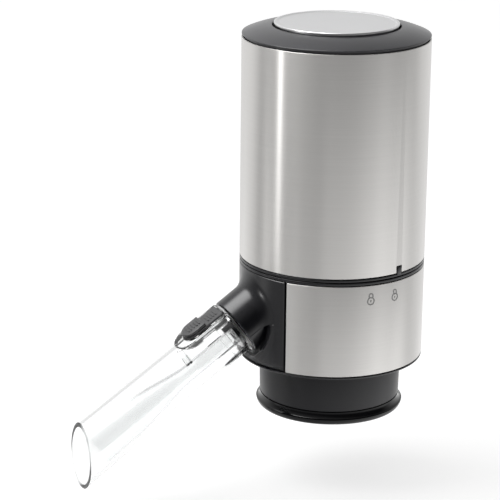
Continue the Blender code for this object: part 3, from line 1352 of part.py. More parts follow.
def button_spring():
    """The return spring round the guide tube, swept along its coil with closed ends."""
    coil = GUIDE_TUBE_RADIUS + SPRING_GAP + SPRING_WIRE_RADIUS
    low = GUIDE_TOP + CLEARANCE + SPRING_WIRE_RADIUS
    high = BUTTON_UNDERSIDE - CLEARANCE - SPRING_WIRE_RADIUS
    steps = SPRING_TURNS * SPRING_STEPS_PER_TURN
    rings = []
    for i in range(steps + 1):
        t = i / steps
        a = FULL_TURN * SPRING_TURNS * t
        outward = Vector((math.cos(a), math.sin(a), 0.0))
        centre = outward * coil + Vector((0.0, 0.0, low + (high - low) * t))
        places = [on_ring(SPRING_WIRE_RADIUS, b) for b in angles(WIRE_SEGMENTS)]
        rings.append([centre + outward * r + Vector((0.0, 0.0, z)) for r, z in places])
    add_object("button_spring", skin(rings), spring_steel())


# Clear spout


def stadium(half_width, start, end, inset=0.0):
    """(side, along) points of a strip with a round far end and a square near end."""
    half = half_width - inset
    centre = end - half_width
    turns = [math.pi * i / STADIUM_STEPS for i in range(STADIUM_STEPS + 1)]
    points = [(x, centre + z) for x, z in (on_ring(half, a) for a in turns)]
    near = start + inset
    return points + [(-half, near), (half, near)]


def strip(bm, outline_levels):
    append(bm, skin([[(x, y, z) for x, z in outline] for y, outline in outline_levels]))


def spout_radius(reach):
    share = (reach - SPOUT_BODY_START) / (SPOUT_REACH - SPOUT_BODY_START)
    return SPOUT_ROOT_RADIUS + (SPOUT_TIP_RADIUS - SPOUT_ROOT_RADIUS) * share


def outlet_ring(radius, segments, centre=(0.0, 0.0), extra=0.0):
    """A ring on the spout's outlet, which is cut upright while the spout slopes."""
    ring = []
    for x, y, _ in circle(radius, 0.0, segments, centre):
        ring.append((x, y, SPOUT_REACH + extra - y * math.tan(SPOUT_TILT)))
    return ring


def clear_spout(axis):
    """The clear tube: flange, gland groove, latch windows, vent pad and upright-cut outlet."""
    n = PIECE_SEGMENTS
    groove = SPOUT_START + SPOUT_GROOVE_PLACE
    groove_end = groove + SPOUT_GROOVE_WIDTH
    groove_radius = spout_radius(groove) - SPOUT_GROOVE_DEPTH
    rings = [
        circle(SPOUT_FLANGE_RADIUS, SPOUT_START, n),
        circle(SPOUT_FLANGE_RADIUS, SPOUT_BODY_START, n),
        circle(SPOUT_ROOT_RADIUS, SPOUT_BODY_START, n),
        circle(spout_radius(groove), groove, n),
        circle(groove_radius, groove, n),
        circle(groove_radius, groove_end, n),
        circle(spout_radius(groove_end), groove_end, n),
        outlet_ring(SPOUT_TIP_RADIUS, n),
    ]
    spout = add_object("clear_spout", skin(rings), clear_plastic(), axis)
    pad = bmesh.new()
    pad_end = SPOUT_START + PAD_LENGTH
    side_top = PAD_TOP - PAD_EDGE_ROUND
    pad_start = SPOUT_START + BITE
    full = stadium(PAD_HALF_WIDTH, pad_start, pad_end)
    drawn_in = stadium(PAD_HALF_WIDTH, pad_start, pad_end, inset=PAD_EDGE_ROUND)
    strip(pad, [(PAD_HALF_WIDTH, full), (side_top, full), (PAD_TOP, drawn_in)])
    join(spout, add_cutter("vent_pad", pad, axis))
    recess = bmesh.new()
    outline = stadium(SEAT_HALF_WIDTH + CLEARANCE, SEAT_START - CLEARANCE, SEAT_END + CLEARANCE)
    strip(recess, [(SEAT_FLOOR, outline), (PAD_TOP + OVERRUN, outline)])
    cut(spout, add_cutter("seat_recess", recess, axis))
    bore_rings = [
        circle(SPOUT_BORE_START_RADIUS, SPOUT_START - OVERRUN, n),
        circle(SPOUT_BORE_START_RADIUS, SPOUT_BODY_START, n),
        outlet_ring(SPOUT_TIP_RADIUS - SPOUT_WALL, n),
        outlet_ring(SPOUT_TIP_RADIUS - SPOUT_WALL, n, extra=OVERRUN),
    ]
    cut(spout, add_cutter("spout_bore", skin(bore_rings), axis))
    windows = bmesh.new()
    for side in (-1, 1):
        window = bmesh.new()
        half = WINDOW_WIDTH / 2
        start = SPOUT_START + WINDOW_PLACE
        low = (-half, SPOUT_BORE_START_RADIUS - OVERRUN, start)
        box(window, low, (half, SPOUT_TIP_RADIUS + OVERRUN, start + WINDOW_LENGTH))
        aside = Matrix.Rotation(side * WINDOW_ANGLE, 3, "Z")
        bmesh.ops.rotate(window, verts=window.verts, matrix=aside)
        append(windows, window)
    cut(spout, add_cutter("latch_windows", windows, axis))
    port = bmesh.new()
    place = SLIDER_START + SLIDER_LENGTH / 2
    top = PAD_TOP + OVERRUN
    append(port, upright_cylinder(VENT_PORT_RADIUS, SPOUT_BORE_START_RADIUS - OVERRUN, top, place))
    cut(spout, add_cutter("vent_port", port, axis))


def upright_cylinder(radius, low, high, place):
    """A cylinder that stands across the spout's axis, at place along it."""
    bm = bmesh.new()
    cylinder(bm, radius, low, high, SMALL_SEGMENTS, (0.0, 0.0))
    bmesh.ops.rotate(bm, verts=bm.verts, matrix=Matrix.Rotation(-QUARTER_TURN, 3, "X"))
    bmesh.ops.translate(bm, verts=bm.verts, vec=(0.0, 0.0, place))
    return bm


def spout_plug(axis):
    """The plug that enters the socket, with the groove of its ring seal and the latch lugs."""
    groove = PLUG_BACK + PLUG_GROOVE_PLACE
    groove_end = groove + PLUG_GROOVE_WIDTH
    groove_radius = PLUG_RADIUS - PLUG_GROOVE_DEPTH
    profile = [
        (0.0, PLUG_BACK),
        (PLUG_RADIUS - PLUG_GROOVE_DEPTH, PLUG_BACK),
        (PLUG_RADIUS, PLUG_BACK + PLUG_GROOVE_DEPTH),
        (PLUG_RADIUS, groove),
        (groove_radius, groove),
        (groove_radius, groove_end),
        (PLUG_RADIUS, groove_end),
        (PLUG_RADIUS, SPOUT_START - CLEARANCE),
        (PLUG_NOSE_RADIUS, SPOUT_START),
        (PLUG_NOSE_RADIUS, PLUG_FRONT),
        (0.0, PLUG_FRONT),
    ]
    plug = turned_object("spout_plug", profile, gloss_black_plastic(), PIECE_SEGMENTS, axis)
    bore = bmesh.new()
    start = PLUG_BACK - OVERRUN
    bore_radius = NOZZLE_RADIUS - NOZZLE_WALL
    cylinder(bore, bore_radius, start, PLUG_FRONT + OVERRUN, SMALL_SEGMENTS, (0.0, -CHANNEL_DROP))
    cut(plug, add_cutter("plug_bore", bore, axis))


def spout_o_ring(axis):
    centre = PLUG_BACK + PLUG_GROOVE_PLACE + PLUG_GROOVE_WIDTH / 2
    ring_radius = PLUG_RADIUS - PLUG_GROOVE_DEPTH + CLEARANCE + O_RING_WIRE_RADIUS
    places = [on_ring(O_RING_WIRE_RADIUS, a) for a in angles(WIRE_SEGMENTS)]
    profile = [(ring_radius + r, centre + z) for r, z in places]
    turned_object("spout_o_ring", profile, silicone_rubber(), PIECE_SEGMENTS, axis)


def nozzle_ring(radius, drop, reach):
    return circle(radius, reach, PIECE_SEGMENTS, (0.0, -drop))


def spout_nozzle(axis):
    """The inner horn: a straight throat below the air port, then a flare out to the outlet."""
    end_radius = SPOUT_TIP_RADIUS - SPOUT_WALL - CLEARANCE
    end = SPOUT_REACH - end_radius * math.tan(SPOUT_TILT) - BITE
    runs = []
    for wall in (0.0, NOZZLE_WALL):
        run = [nozzle_ring(NOZZLE_RADIUS - wall, CHANNEL_DROP, NOZZLE_START)]
        for share, widening in HORN_SHARES:
            reach = NOZZLE_FLARE_START + (end - NOZZLE_FLARE_START) * share
            radius = NOZZLE_RADIUS + (end_radius - NOZZLE_RADIUS) * widening
            drop = CHANNEL_DROP + (NOZZLE_END_DROP - CHANNEL_DROP) * share
            radius = min(radius, spout_radius(reach) - SPOUT_WALL - CLEARANCE - drop)
            run.append(nozzle_ring(radius - wall, drop, reach))
        runs.append(run)
    shell = skin(runs[0] + runs[1][::-1], loop=True)
    horn = add_object("spout_nozzle", shell, clear_plastic(), axis)
    place = NOZZLE_START + CHIMNEY_PLACE
    low = NOZZLE_RADIUS - CHANNEL_DROP - BITE
    high = SPOUT_BORE_START_RADIUS - CLEARANCE - BITE
    stack = upright_cylinder(CHIMNEY_RADIUS, low, high, place)
    join(horn, add_cutter("air_chimney", stack, axis))
    hole = upright_cylinder(CHIMNEY_BORE_RADIUS, low - NOZZLE_WALL, high + OVERRUN, place)
    cut(horn, add_cutter("chimney_bore", hole, axis))


def vent_seat(axis):
    bm = bmesh.new()
    outline = stadium(SEAT_HALF_WIDTH, SEAT_START, SEAT_END)
    strip(bm, [(SEAT_BASE, outline), (SEAT_TOP, outline)])
    seat = add_object("vent_seat", bm, black_plastic(), axis)
    slot = bmesh.new()
    end = SLIDER_END - SLIDER_RIB_SETBACK + CLEARANCE
    low = (-VENT_SLOT_HALF_WIDTH, SEAT_BASE - OVERRUN, end - VENT_SLOT_LENGTH)
    box(slot, low, (VENT_SLOT_HALF_WIDTH, SEAT_TOP + OVERRUN, end))
    cut(seat, add_cutter("vent_slot", slot, axis))


def vent_slider(axis):
    """The thumb tab that slides back over its seat to open the air port."""
    bm = bmesh.new()
    half_width = SEAT_HALF_WIDTH - CLEARANCE / 2
    outline = stadium(half_width, 0.0, SLIDER_LENGTH)
    drawn_in = stadium(half_width, 0.0, SLIDER_LENGTH, inset=CLEARANCE)
    level = SLIDER_TOP - CLEARANCE
    strip(bm, [(SLIDER_BASE, outline), (level, outline), (SLIDER_TOP, drawn_in)])
    origin = add_empty("slider_origin", (0.0, 0.0, SLIDER_START))
    origin.parent = axis
    slider = add_object("vent_slider", bm, black_plastic(), origin)
    more = bmesh.new()
    half = VENT_SLOT_HALF_WIDTH - CLEARANCE
    rib_end = SLIDER_LENGTH - SLIDER_RIB_SETBACK
    low = (-half, SEAT_BASE + CLEARANCE, rib_end - SLIDER_RIB_LENGTH)
    box(more, low, (half, SLIDER_BASE + BITE, rib_end))
    first = (SLIDER_LENGTH - (SLIDER_BARS - 1) * SLIDER_BAR_PITCH) / 2
    for i in range(SLIDER_BARS):
        near = first + i * SLIDER_BAR_PITCH - SLIDER_BAR_WIDTH / 2
        low = (-SLIDER_BAR_HALF_LENGTH, SLIDER_TOP - BITE, near)
        top = SLIDER_TOP + SLIDER_BAR_HEIGHT
        box(more, low, (SLIDER_BAR_HALF_LENGTH, top, near + SLIDER_BAR_WIDTH))
    join(slider, add_cutter("slider_rib_and_bars", more, origin))


def main():
    clear_scene()
    neck_skirt()
    base_ring()
    bottle_seal()
    lower_housing()
    lower_sleeve()
    axis = spout_axis()
    spout_panel(axis)
    spout_socket(axis)
    straw_nipple()
    wine_pipe()
    pump_head()
    pump_valve_plate()
    pump_diaphragm()
    pump_frame()
    wobble_plate()
    motor_can()
    shaft_axis = motor_axis()
    motor_shaft(shaft_axis)
    pump_eccentric(shaft_axis)
    bayonet_deck()
    for number, angle in enumerate(POST_ANGLES, start=1):
        deck_screw(number, angle)
    battery_cradle()
    for number, angle in enumerate(angles(CELL_COUNT), start=1):
        aaa_cell(number, angle)
    cell_contacts()
    circuit_board()
    switch_body()
    switch_plunger()
    upper_sleeve()
    cover_liner()
    index_ring()
    top_bezel()
    button_guide()
    button_axis = add_empty("button_axis", (0.0, 0.0, BUTTON_TOP))
    push_button(button_axis)
    button_stem(button_axis)
    button_spring()
    clear_spout(axis)
    spout_plug(axis)
    spout_o_ring(axis)
    spout_nozzle(axis)
    vent_seat(axis)
    vent_slider(axis)


main()
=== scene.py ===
"""Electric wine aerator: the looks of its pieces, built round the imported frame.

Each operator makes one piece or one group of like pieces. All lengths are in metres.
"""

from math import asin, atan2, cos, hypot, pi, radians, sin, sqrt, tan, tau

import bmesh
import bpy
from bpy.props import FloatProperty, FloatVectorProperty, IntProperty, PointerProperty
from bpy.types import Operator, Panel, PropertyGroup
from mathutils import Matrix, Vector


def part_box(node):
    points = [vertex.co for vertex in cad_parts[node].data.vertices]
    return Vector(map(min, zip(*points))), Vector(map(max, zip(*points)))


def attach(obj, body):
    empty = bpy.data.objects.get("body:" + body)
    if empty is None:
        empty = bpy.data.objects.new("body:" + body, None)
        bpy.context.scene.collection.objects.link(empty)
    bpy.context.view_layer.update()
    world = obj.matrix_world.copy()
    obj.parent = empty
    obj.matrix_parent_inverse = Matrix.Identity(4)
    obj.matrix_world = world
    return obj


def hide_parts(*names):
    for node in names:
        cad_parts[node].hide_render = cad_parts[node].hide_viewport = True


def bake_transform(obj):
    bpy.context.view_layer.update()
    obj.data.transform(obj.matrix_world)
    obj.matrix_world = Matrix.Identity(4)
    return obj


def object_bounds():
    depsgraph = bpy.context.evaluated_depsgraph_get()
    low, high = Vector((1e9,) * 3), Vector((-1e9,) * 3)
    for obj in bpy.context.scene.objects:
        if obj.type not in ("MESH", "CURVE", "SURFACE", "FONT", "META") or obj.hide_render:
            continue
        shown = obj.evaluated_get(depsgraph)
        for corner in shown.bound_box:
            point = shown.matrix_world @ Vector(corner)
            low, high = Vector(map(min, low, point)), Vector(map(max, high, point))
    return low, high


bl_info = {
    "name": "Wine aerator builder", "version": (1, 0, 0), "blender": (4, 5, 0),
    "location": "3D View > Sidebar > Aerator",
    "description": "Builds the pieces of an electric wine aerator and a small studio",
    "category": "Add Mesh",
}

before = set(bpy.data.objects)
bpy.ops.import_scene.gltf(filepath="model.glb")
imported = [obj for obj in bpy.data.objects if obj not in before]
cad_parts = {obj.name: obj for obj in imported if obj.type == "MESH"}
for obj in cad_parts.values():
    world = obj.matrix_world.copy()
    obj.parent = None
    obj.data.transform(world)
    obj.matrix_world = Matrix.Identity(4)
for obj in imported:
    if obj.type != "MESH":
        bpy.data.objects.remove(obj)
cad_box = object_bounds()

# Sizes read from the frame


def span(node):
    """Lowest and highest point of a CAD node."""
    low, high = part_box(node)
    return low.z, high.z


def reach_out(node):
    """The largest radius of a round CAD node."""
    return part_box(node)[1].x


BODY_RADIUS = reach_out("upper_sleeve")
NECK_RADIUS = reach_out("neck_skirt")
LIP_RADIUS = reach_out("base_ring")
BUTTON_FLANGE_RADIUS = reach_out("push_button")
LINER_RADIUS = reach_out("cover_liner")
UPPER_BASE, UPPER_TOP = span("upper_sleeve")
LOWER_BASE, LOWER_TOP = span("lower_sleeve")
NECK_BASE, NECK_TOP = span("neck_skirt")
LIP_BASE, LIP_TOP = span("base_ring")
HOUSING_BASE = span("lower_housing")[0]
BEZEL_BASE, BEZEL_TOP = span("top_bezel")
BUTTON_BASE, BUTTON_TOP = span("push_button")
INDEX_BASE, INDEX_TOP = span("index_ring")
DECK_BASE, DECK_TOP = span("bayonet_deck")
SCREW_BASE, SCREW_TOP = span("deck_screw_1")
NIPPLE_BASE, NIPPLE_TOP = span("straw_nipple")
SEAL_BASE, SEAL_TOP = span("bottle_seal")

# The spout's own axis: it leaves the body's axis at this height and slopes down to the front
SPOUT_TILT = radians(33.8)
SLOPE = tan(SPOUT_TILT)
SPOUT_ROOT_HEIGHT = 0.0569
QUARTER_TURN, HALF_TURN, FULL_TURN = pi / 2, pi, tau
SPOUT_FRAME = Matrix.Translation((0.0, 0.0, SPOUT_ROOT_HEIGHT)) @ Matrix.Rotation(
    QUARTER_TURN + SPOUT_TILT, 4, "X"
)
BOSS_MOUTH = 0.0444
SPOUT_END = 0.1139
GAP = 0.0003
OVERRUN = 0.002
# Roundings of edges, from a broken edge to a soft one
HAIR, EDGE, SOFT, ROUND = 0.0001, 0.0002, 0.0003, 0.0004
# Length of an upright piece that its UV map takes as one
WRAP_LENGTH = 0.1

# Settings


def a_length(name, text, default):
    return FloatProperty(name=name, description=text, default=default, unit="LENGTH", precision=5)


def a_colour(name, text, default):
    return FloatVectorProperty(name=name, description=text, default=default, subtype="COLOR")


def a_lamp(name, text, default):
    return FloatProperty(name=name, description=text, default=default, unit="POWER")


class SleeveSettings(PropertyGroup):
    wall: a_length("Sheet thickness", "Thickness of the rolled steel sheet", 0.0006)
    edge_round: a_length("Edge round", "Radius of the rolled sheet's edges", 0.00018)
    window: FloatProperty(
        name="Front window", description="Angle that the lower sleeve leaves open for the front panel",
        default=radians(70.4), subtype="ANGLE",
    )
    segments: IntProperty(name="Segments", description="Facets round a sleeve", default=192, min=24, max=512)


class FinishSettings(PropertyGroup):
    steel: a_colour("Sleeve steel", "Colour of the brushed sleeves", (0.56, 0.55, 0.536))
    bezel: a_colour("Bezel paint", "Colour of the sloping ring round the button", (0.027, 0.027, 0.031))
    button: a_colour("Button metal", "Colour of the push button", (0.755, 0.762, 0.785))
    plastic: a_colour("Black plastic", "Colour of the satin black plastic", (0.0055, 0.0055, 0.0075))
    clear: a_colour("Clear plastic", "Colour of the clear spout", (0.97, 0.975, 0.975))
    brush: FloatProperty(
        name="Brushing", description="How much longer the steel draws its highlights along the sleeve",
        default=0.92, min=0.0, max=1.0,
    )


class PanelSettings(PropertyGroup):
    boss_radius: a_length("Boss radius", "Outer radius of the boss that holds the spout", 0.01075)
    boss_wall: a_length("Boss wall", "Wall thickness of the boss", 0.00115)
    fillet: a_length("Root fillet", "Radius of the fillet round the boss's root", 0.0032)
    scoop: a_length(
        "Band width", "Width of the groove and the raised band round the boss's lower half", 0.0040
    )


class SpoutSettings(PropertyGroup):
    root_radius: a_length(
        "Tube radius at the body", "Outer radius of the clear tube next to its flange", 0.00885
    )
    tip_radius: a_length(
        "Tube radius at the outlet", "Outer radius of the clear tube where it is cut", 0.0097
    )
    wall: a_length("Tube wall", "Wall thickness of the clear tube", 0.0013)


class MarkSettings(PropertyGroup):
    height: a_length("Mark height", "Height of a padlock mark", 0.0041)
    line: a_length("Line width", "Width of the printed lines", 0.00046)
    ink: a_colour("Ink", "Colour of the printed marks", (0.33, 0.33, 0.325))


class StudioSettings(PropertyGroup):
    floor: a_colour("Floor", "Colour of the plain floor", (0.8, 0.8, 0.8))
    level: FloatProperty(
        name="Room light", description="Light from all round on plain surfaces", default=0.55, min=0.0
    )
    key: a_lamp("Soft lamp", "Power of the large lamp above", 5.0)
    strip: a_lamp("Strip lamp", "Power of the upright strip lamp", 2.56)


# Shapes


def on_ring(radius, angle):
    return (radius * cos(angle), radius * sin(angle))


def angles(count, start=0.0):
    return [start + FULL_TURN * i / count for i in range(count)]


def quarter(radius, steps):
    """Steps of a quarter round, as (drawn in, risen) from its foot to its top."""
    turns = [QUARTER_TURN * i / steps for i in range(steps + 1)]
    return [(radius * (1 - cos(t)), radius * sin(t)) for t in turns]


def circle(radius, height, segments, centre=(0.0, 0.0)):
    ring = (on_ring(radius, a) for a in angles(segments))
    return [(centre[0] + x, centre[1] + y, height) for x, y in ring]


def rounded(corners, steps=5):
    """Fills the corners of a closed outline. Each corner is (radius, height) or (radius, height, round)."""
    points = []
    for i, corner in enumerate(corners):
        here = Vector(corner[:2])
        if len(corner) < 3:
            points.append(tuple(here))
            continue
        back = Vector(corners[i - 1][:2]) - here
        ahead = Vector(corners[(i + 1) % len(corners)][:2]) - here
        half = back.angle(ahead) / 2
        along = min(corner[2] / tan(half), back.length * 0.48, ahead.length * 0.48)
        middle = (back.normalized() + ahead.normalized()).normalized()
        centre = here + middle * along / cos(half)
        first = here + back.normalized() * along - centre
        last = here + ahead.normalized() * along - centre
        for k in range(steps + 1):
            points.append(tuple(centre + first.slerp(last, k / steps) * first.length))
    return points


def skin(rings, loop=False):
    """Joins rings of points with faces. A loop closes last to first, or else both ends get caps."""
    bm = bmesh.new()
    made = [[bm.verts.new(point) for point in ring] for ring in rings]
    for low, high in list(zip(made, made[1:])) + ([(made[-1], made[0])] if loop else []):
        for i in range(len(low)):
            k = (i + 1) % len(low)
            bm.faces.new((low[i], low[k], high[k], high[i]))
    if not loop:
        bm.faces.new(made[0][::-1])
        bm.faces.new(made[-1])
    bmesh.ops.recalc_face_normals(bm, faces=bm.faces)
    return bm


def lathe(profile, segments, centre=(0.0, 0.0), sweep=FULL_TURN, start=0.0):
    """Turns a closed (radius, height) outline about an upright axis. Points on the axis become poles."""
    bm = bmesh.new()
    full = sweep >= FULL_TURN
    columns = []
    poles = [bm.verts.new((*centre, z)) if r < 1e-7 else None for r, z in profile]
    for i in range(segments if full else segments + 1):
        column = []
        for pole, (r, z) in zip(poles, profile):
            x, y = on_ring(r, start + sweep * i / segments)
            column.append(pole or bm.verts.new((centre[0] + x, centre[1] + y, z)))
        columns.append(column)
    for low, high in list(zip(columns, columns[1:])) + ([(columns[-1], columns[0])] if full else []):
        for k in range(len(profile)):
            n = (k + 1) % len(profile)
            corners = list(dict.fromkeys((low[k], low[n], high[n], high[k])))
            if len(corners) > 2:
                bm.faces.new(corners)
    if not full:
        bm.faces.new(columns[0])
        bm.faces.new(columns[-1][::-1])
    bmesh.ops.recalc_face_normals(bm, faces=bm.faces)
    return bm


def block(low, high):
    bm = bmesh.new()
    made = bmesh.ops.create_cube(bm, size=1.0)["verts"]
    bmesh.ops.scale(bm, verts=made, vec=Vector(high) - Vector(low))
    bmesh.ops.translate(bm, verts=made, vec=(Vector(high) + Vector(low)) / 2)
    return bm


def rod(radius, low, high, centre=(0.0, 0.0), segments=32):
    return skin([circle(radius, z, segments, centre) for z in (low, high)])


def turned(bm, angle, axis="Z"):
    bmesh.ops.rotate(bm, verts=bm.verts, matrix=Matrix.Rotation(angle, 3, axis))
    return bm


def moved(bm, offset):
    bmesh.ops.translate(bm, verts=bm.verts, vec=offset)
    return bm


def gathered(parts):
    """One bmesh from several."""
    bm = bmesh.new()
    for part in parts:
        mesh = bpy.data.meshes.new("gathered")
        part.to_mesh(mesh)
        part.free()
        bm.from_mesh(mesh)
        bpy.data.meshes.remove(mesh)
    return bm


def linked(name, data):
    """A new object in the scene that shows that data."""
    obj = bpy.data.objects.new(name, data)
    bpy.context.scene.collection.objects.link(obj)
    return obj


def raw_object(name, bm):
    mesh = bpy.data.meshes.new(name)
    bm.to_mesh(mesh)
    bm.free()
    return linked(name, mesh)


def lathed(name, profile, segments, steps=5, centre=(0.0, 0.0)):
    """An object turned from an outline whose corners get rounded."""
    return raw_object(name, lathe(rounded(profile, steps), segments, centre))


def discard(obj):
    mesh = obj.data
    bpy.data.objects.remove(obj)
    bpy.data.meshes.remove(mesh)


def bake(obj):
    """Turns the object's modifiers into its mesh."""
    bpy.context.view_layer.update()
    depsgraph = bpy.context.evaluated_depsgraph_get()
    mesh = bpy.data.meshes.new_from_object(obj.evaluated_get(depsgraph), depsgraph=depsgraph)
    old = obj.data
    obj.modifiers.clear()
    obj.data = mesh
    mesh.name = obj.name
    bpy.data.meshes.remove(old)
    return obj


def modified(obj, kind, **settings):
    """Gives the object one modifier and turns it into its mesh."""
    modifier = obj.modifiers.new(kind, kind)
    for key, value in settings.items():
        setattr(modifier, key, value)
    return bake(obj)


def combine(obj, parts, operation):
    """Cuts the parts from the object or joins them to it, in one step."""
    tool = raw_object("tool", gathered(parts) if len(parts) > 1 else parts[0])
    modified(obj, "BOOLEAN", operation=operation, solver="EXACT", object=tool)
    discard(tool)


def cut(obj, *parts):
    combine(obj, parts, "DIFFERENCE")


def join(obj, *parts):
    combine(obj, parts, "UNION")


def wrap_uv(mesh):
    """A UV map whose U runs up the piece and whose V runs round it."""
    layer = mesh.uv_layers.new(name="wrap")
    for face in mesh.polygons:
        middle = atan2(face.center.y, face.center.x)
        for k in face.loop_indices:
            at = mesh.vertices[mesh.loops[k].vertex_index].co
            around = atan2(at.y, at.x) - middle
            around = (around + HALF_TURN) % FULL_TURN - HALF_TURN
            layer.data[k].uv = (at.z / WRAP_LENGTH, (middle + around) / FULL_TURN)


def finish_piece(obj, finish, body, nodes, angle=35.0):
    """Shades and paints a piece and hides the CAD nodes it stands for. Its body is a name, whose empty
    it is parented to, or two names and two places, which are not used: the piece then stays fixed where it
    stands."""
    mesh = obj.data
    mesh.shade_smooth()
    mesh.set_sharp_from_angle(angle=radians(angle))
    mesh.materials.clear()
    mesh.materials.append(finish_of(finish))
    if isinstance(body, str):
        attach(obj, body)
    else:
        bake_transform(obj)
    if nodes:
        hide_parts(*nodes)


def spout_piece(obj, finish, body, node, angle=35.0):
    """Finishes a piece that was drawn along the spout's axis."""
    obj.data.transform(SPOUT_FRAME)
    finish_piece(obj, finish, body, [node], angle)


# Node trees, shader groups and materials

FLOAT, GEOMETRY, MATERIAL = "NodeSocketFloat", "NodeSocketGeometry", "NodeSocketMaterial"
KINDS = {float: FLOAT, int: "NodeSocketInt", bool: "NodeSocketBool"}


def new_tree(kind, name, inputs, outputs):
    """A node tree with its inner ends. Each input has its first value, or only its kind."""
    tree = bpy.data.node_groups.new(name, kind)
    for label, value in inputs.items():
        given_kind = KINDS.get(type(value), value)
        socket = tree.interface.new_socket(label, in_out="INPUT", socket_type=given_kind)
        if given_kind != value:
            socket.default_value = value
    for label, given_kind in outputs.items():
        tree.interface.new_socket(label, in_out="OUTPUT", socket_type=given_kind)
    return tree, tree.nodes.new("NodeGroupInput").outputs, tree.nodes.new("NodeGroupOutput").inputs


def feed(tree, socket, value):
    """Sets an input to a value, or links it to a socket or to a node's first output."""
    if isinstance(value, bpy.types.Node):
        value = value.outputs[0]
    if isinstance(value, bpy.types.NodeSocket):
        tree.links.new(value, socket)
    else:
        socket.default_value = value


def add(tree, kind, *values, **settings):
    """A new node. A setting goes to the property or else to the input of that name, with _ for a
    space, and loose values go to the first inputs."""
    node = tree.nodes.new(kind)
    for key, value in settings.items():
        if hasattr(node, key):
            setattr(node, key, value)
        else:
            feed(tree, node.inputs[key.replace("_", " ")], value)
    for socket, value in zip(node.inputs, values):
        feed(tree, socket, value)
    return node


def maths(tree, operation, *values):
    return add(tree, "ShaderNodeMath", *values, operation=operation)


def new_effect(name, scales):
    """A shader group for a surface, with the scales of its texture as its own inputs."""
    inputs = {**scales, "Roughness": 0.3, "Spread": 0.1, "Tone": 0.1}
    return new_tree("ShaderNodeTree", name, inputs, {"Height": FLOAT, "Roughness": FLOAT, "Shade": FLOAT})


def end_effect(group, given, made, height, centred):
    """Passes the relief on and lets the texture vary the gloss and the shade."""
    feed(group, made["Height"], height)
    rough = maths(group, "MULTIPLY", centred, given["Spread"])
    feed(group, made["Roughness"], maths(group, "ADD", rough, given["Roughness"]))
    tone = maths(group, "MULTIPLY", centred, given["Tone"])
    feed(group, made["Shade"], maths(group, "ADD", tone, 0.5))
    return group


def brushed_lines():
    """Fine lines round an upright piece, or rings on a flat one."""
    group, given, made = new_effect("brushed_lines", {"Along": 60.0, "Across": 9000.0})
    place = add(group, "ShaderNodeTexCoord").outputs["Object"]
    scale = add(group, "ShaderNodeCombineXYZ", given["Along"], given["Along"], given["Across"])
    place = add(group, "ShaderNodeVectorMath", place, scale, operation="MULTIPLY")
    fine = add(group, "ShaderNodeTexNoise", Vector=place, Scale=1.0, Detail=3.0, Roughness=0.6)
    broad = add(group, "ShaderNodeTexNoise", Vector=place, Scale=0.13, Detail=1.0)
    mixed = maths(group, "ADD", fine, maths(group, "MULTIPLY", broad, 0.3))
    return end_effect(group, given, made, fine, maths(group, "SUBTRACT", mixed, 0.65))


def moulded_grain():
    """The fine texture of moulded plastic, with faint handling marks in its gloss."""
    group, given, made = new_effect("moulded_grain", {"Grain": 3500.0})
    place = add(group, "ShaderNodeTexCoord").outputs["Object"]
    fine = add(group, "ShaderNodeTexNoise", Vector=place, Scale=given["Grain"], Detail=2.0)
    marks = add(group, "ShaderNodeTexNoise", Vector=place, Scale=90.0, Detail=4.0, Roughness=0.65)
    return end_effect(group, given, made, fine, maths(group, "SUBTRACT", marks, 0.5))


EFFECTS = {"brushed_lines": brushed_lines, "moulded_grain": moulded_grain}


def surface(name, colour, metallic, group, values, bump=0.1, depth=0.00002, contrast=0.5, **fixed):
    """A Principled material whose colour, gloss and relief come from a shared group."""
    material = bpy.data.materials.new(name)
    material.use_nodes = True
    material.diffuse_color = (*colour, 1.0)
    tree = material.node_tree
    shader = tree.nodes["Principled BSDF"]
    shared = bpy.data.node_groups.get(group) or EFFECTS[group]()
    effect = add(tree, "ShaderNodeGroup", node_tree=shared, **values)
    shades = add(tree, "ShaderNodeValToRGB", effect.outputs["Shade"])
    for stop, share in zip(shades.color_ramp.elements, (1 - contrast, 1 + contrast)):
        stop.color = (*[min(1.0, c * share) for c in colour], 1.0)
    relief = add(tree, "ShaderNodeBump", Strength=bump, Distance=depth, Height=effect.outputs["Height"])
    fixed.update(Metallic=metallic, Base_Color=shades, Roughness=effect.outputs["Roughness"], Normal=relief)
    for key, value in fixed.items():
        feed(tree, shader.inputs[key.replace("_", " ")], value)
    return material


def brushed(name, colour, along, across, roughness, spread, tone, bump, **fixed):
    values = dict(Along=along, Across=across, Roughness=roughness, Spread=spread, Tone=tone)
    return surface(name, colour, 1.0, "brushed_lines", values, bump, **fixed)


def sleeve_steel(name, colour, *values):
    """Brushed metal that stretches its highlights along the sleeve."""
    material = brushed(name, colour, *values, Anisotropic=bpy.context.scene.aerator_finish.brush)
    tree = material.node_tree
    tangent = add(tree, "ShaderNodeTangent", direction_type="UV_MAP", uv_map="wrap")
    feed(tree, tree.nodes["Principled BSDF"].inputs["Tangent"], tangent)
    return material


def plastic(name, colour, roughness, grain=3500.0, bump=0.12, spread=0.1, specular=0.5):
    values = dict(Grain=grain, Roughness=roughness, Spread=spread, Tone=0.4)
    return surface(name, colour, 0.0, "moulded_grain", values, bump, Specular_IOR_Level=specular)


def clear_plastic(name, colour):
    """Clear plastic: its faint flow lines only touch the gloss and the relief."""
    values = dict(Grain=160.0, Roughness=0.02, Spread=0.02, Tone=0.05)
    more = dict(bump=0.02, depth=0.00005, contrast=0.02, Transmission_Weight=1.0, IOR=1.49)
    material = surface(name, colour, 0.0, "moulded_grain", values, **more)
    tree = material.node_tree
    roughness = tree.nodes["Principled BSDF"].inputs["Roughness"]
    cut_edge = add(tree, "ShaderNodeAttribute", attribute_name="cut_edge").outputs["Fac"]
    frost = maths(tree, "MULTIPLY", cut_edge, FROST)
    feed(tree, roughness, maths(tree, "ADD", roughness.links[0].from_socket, frost))
    return material


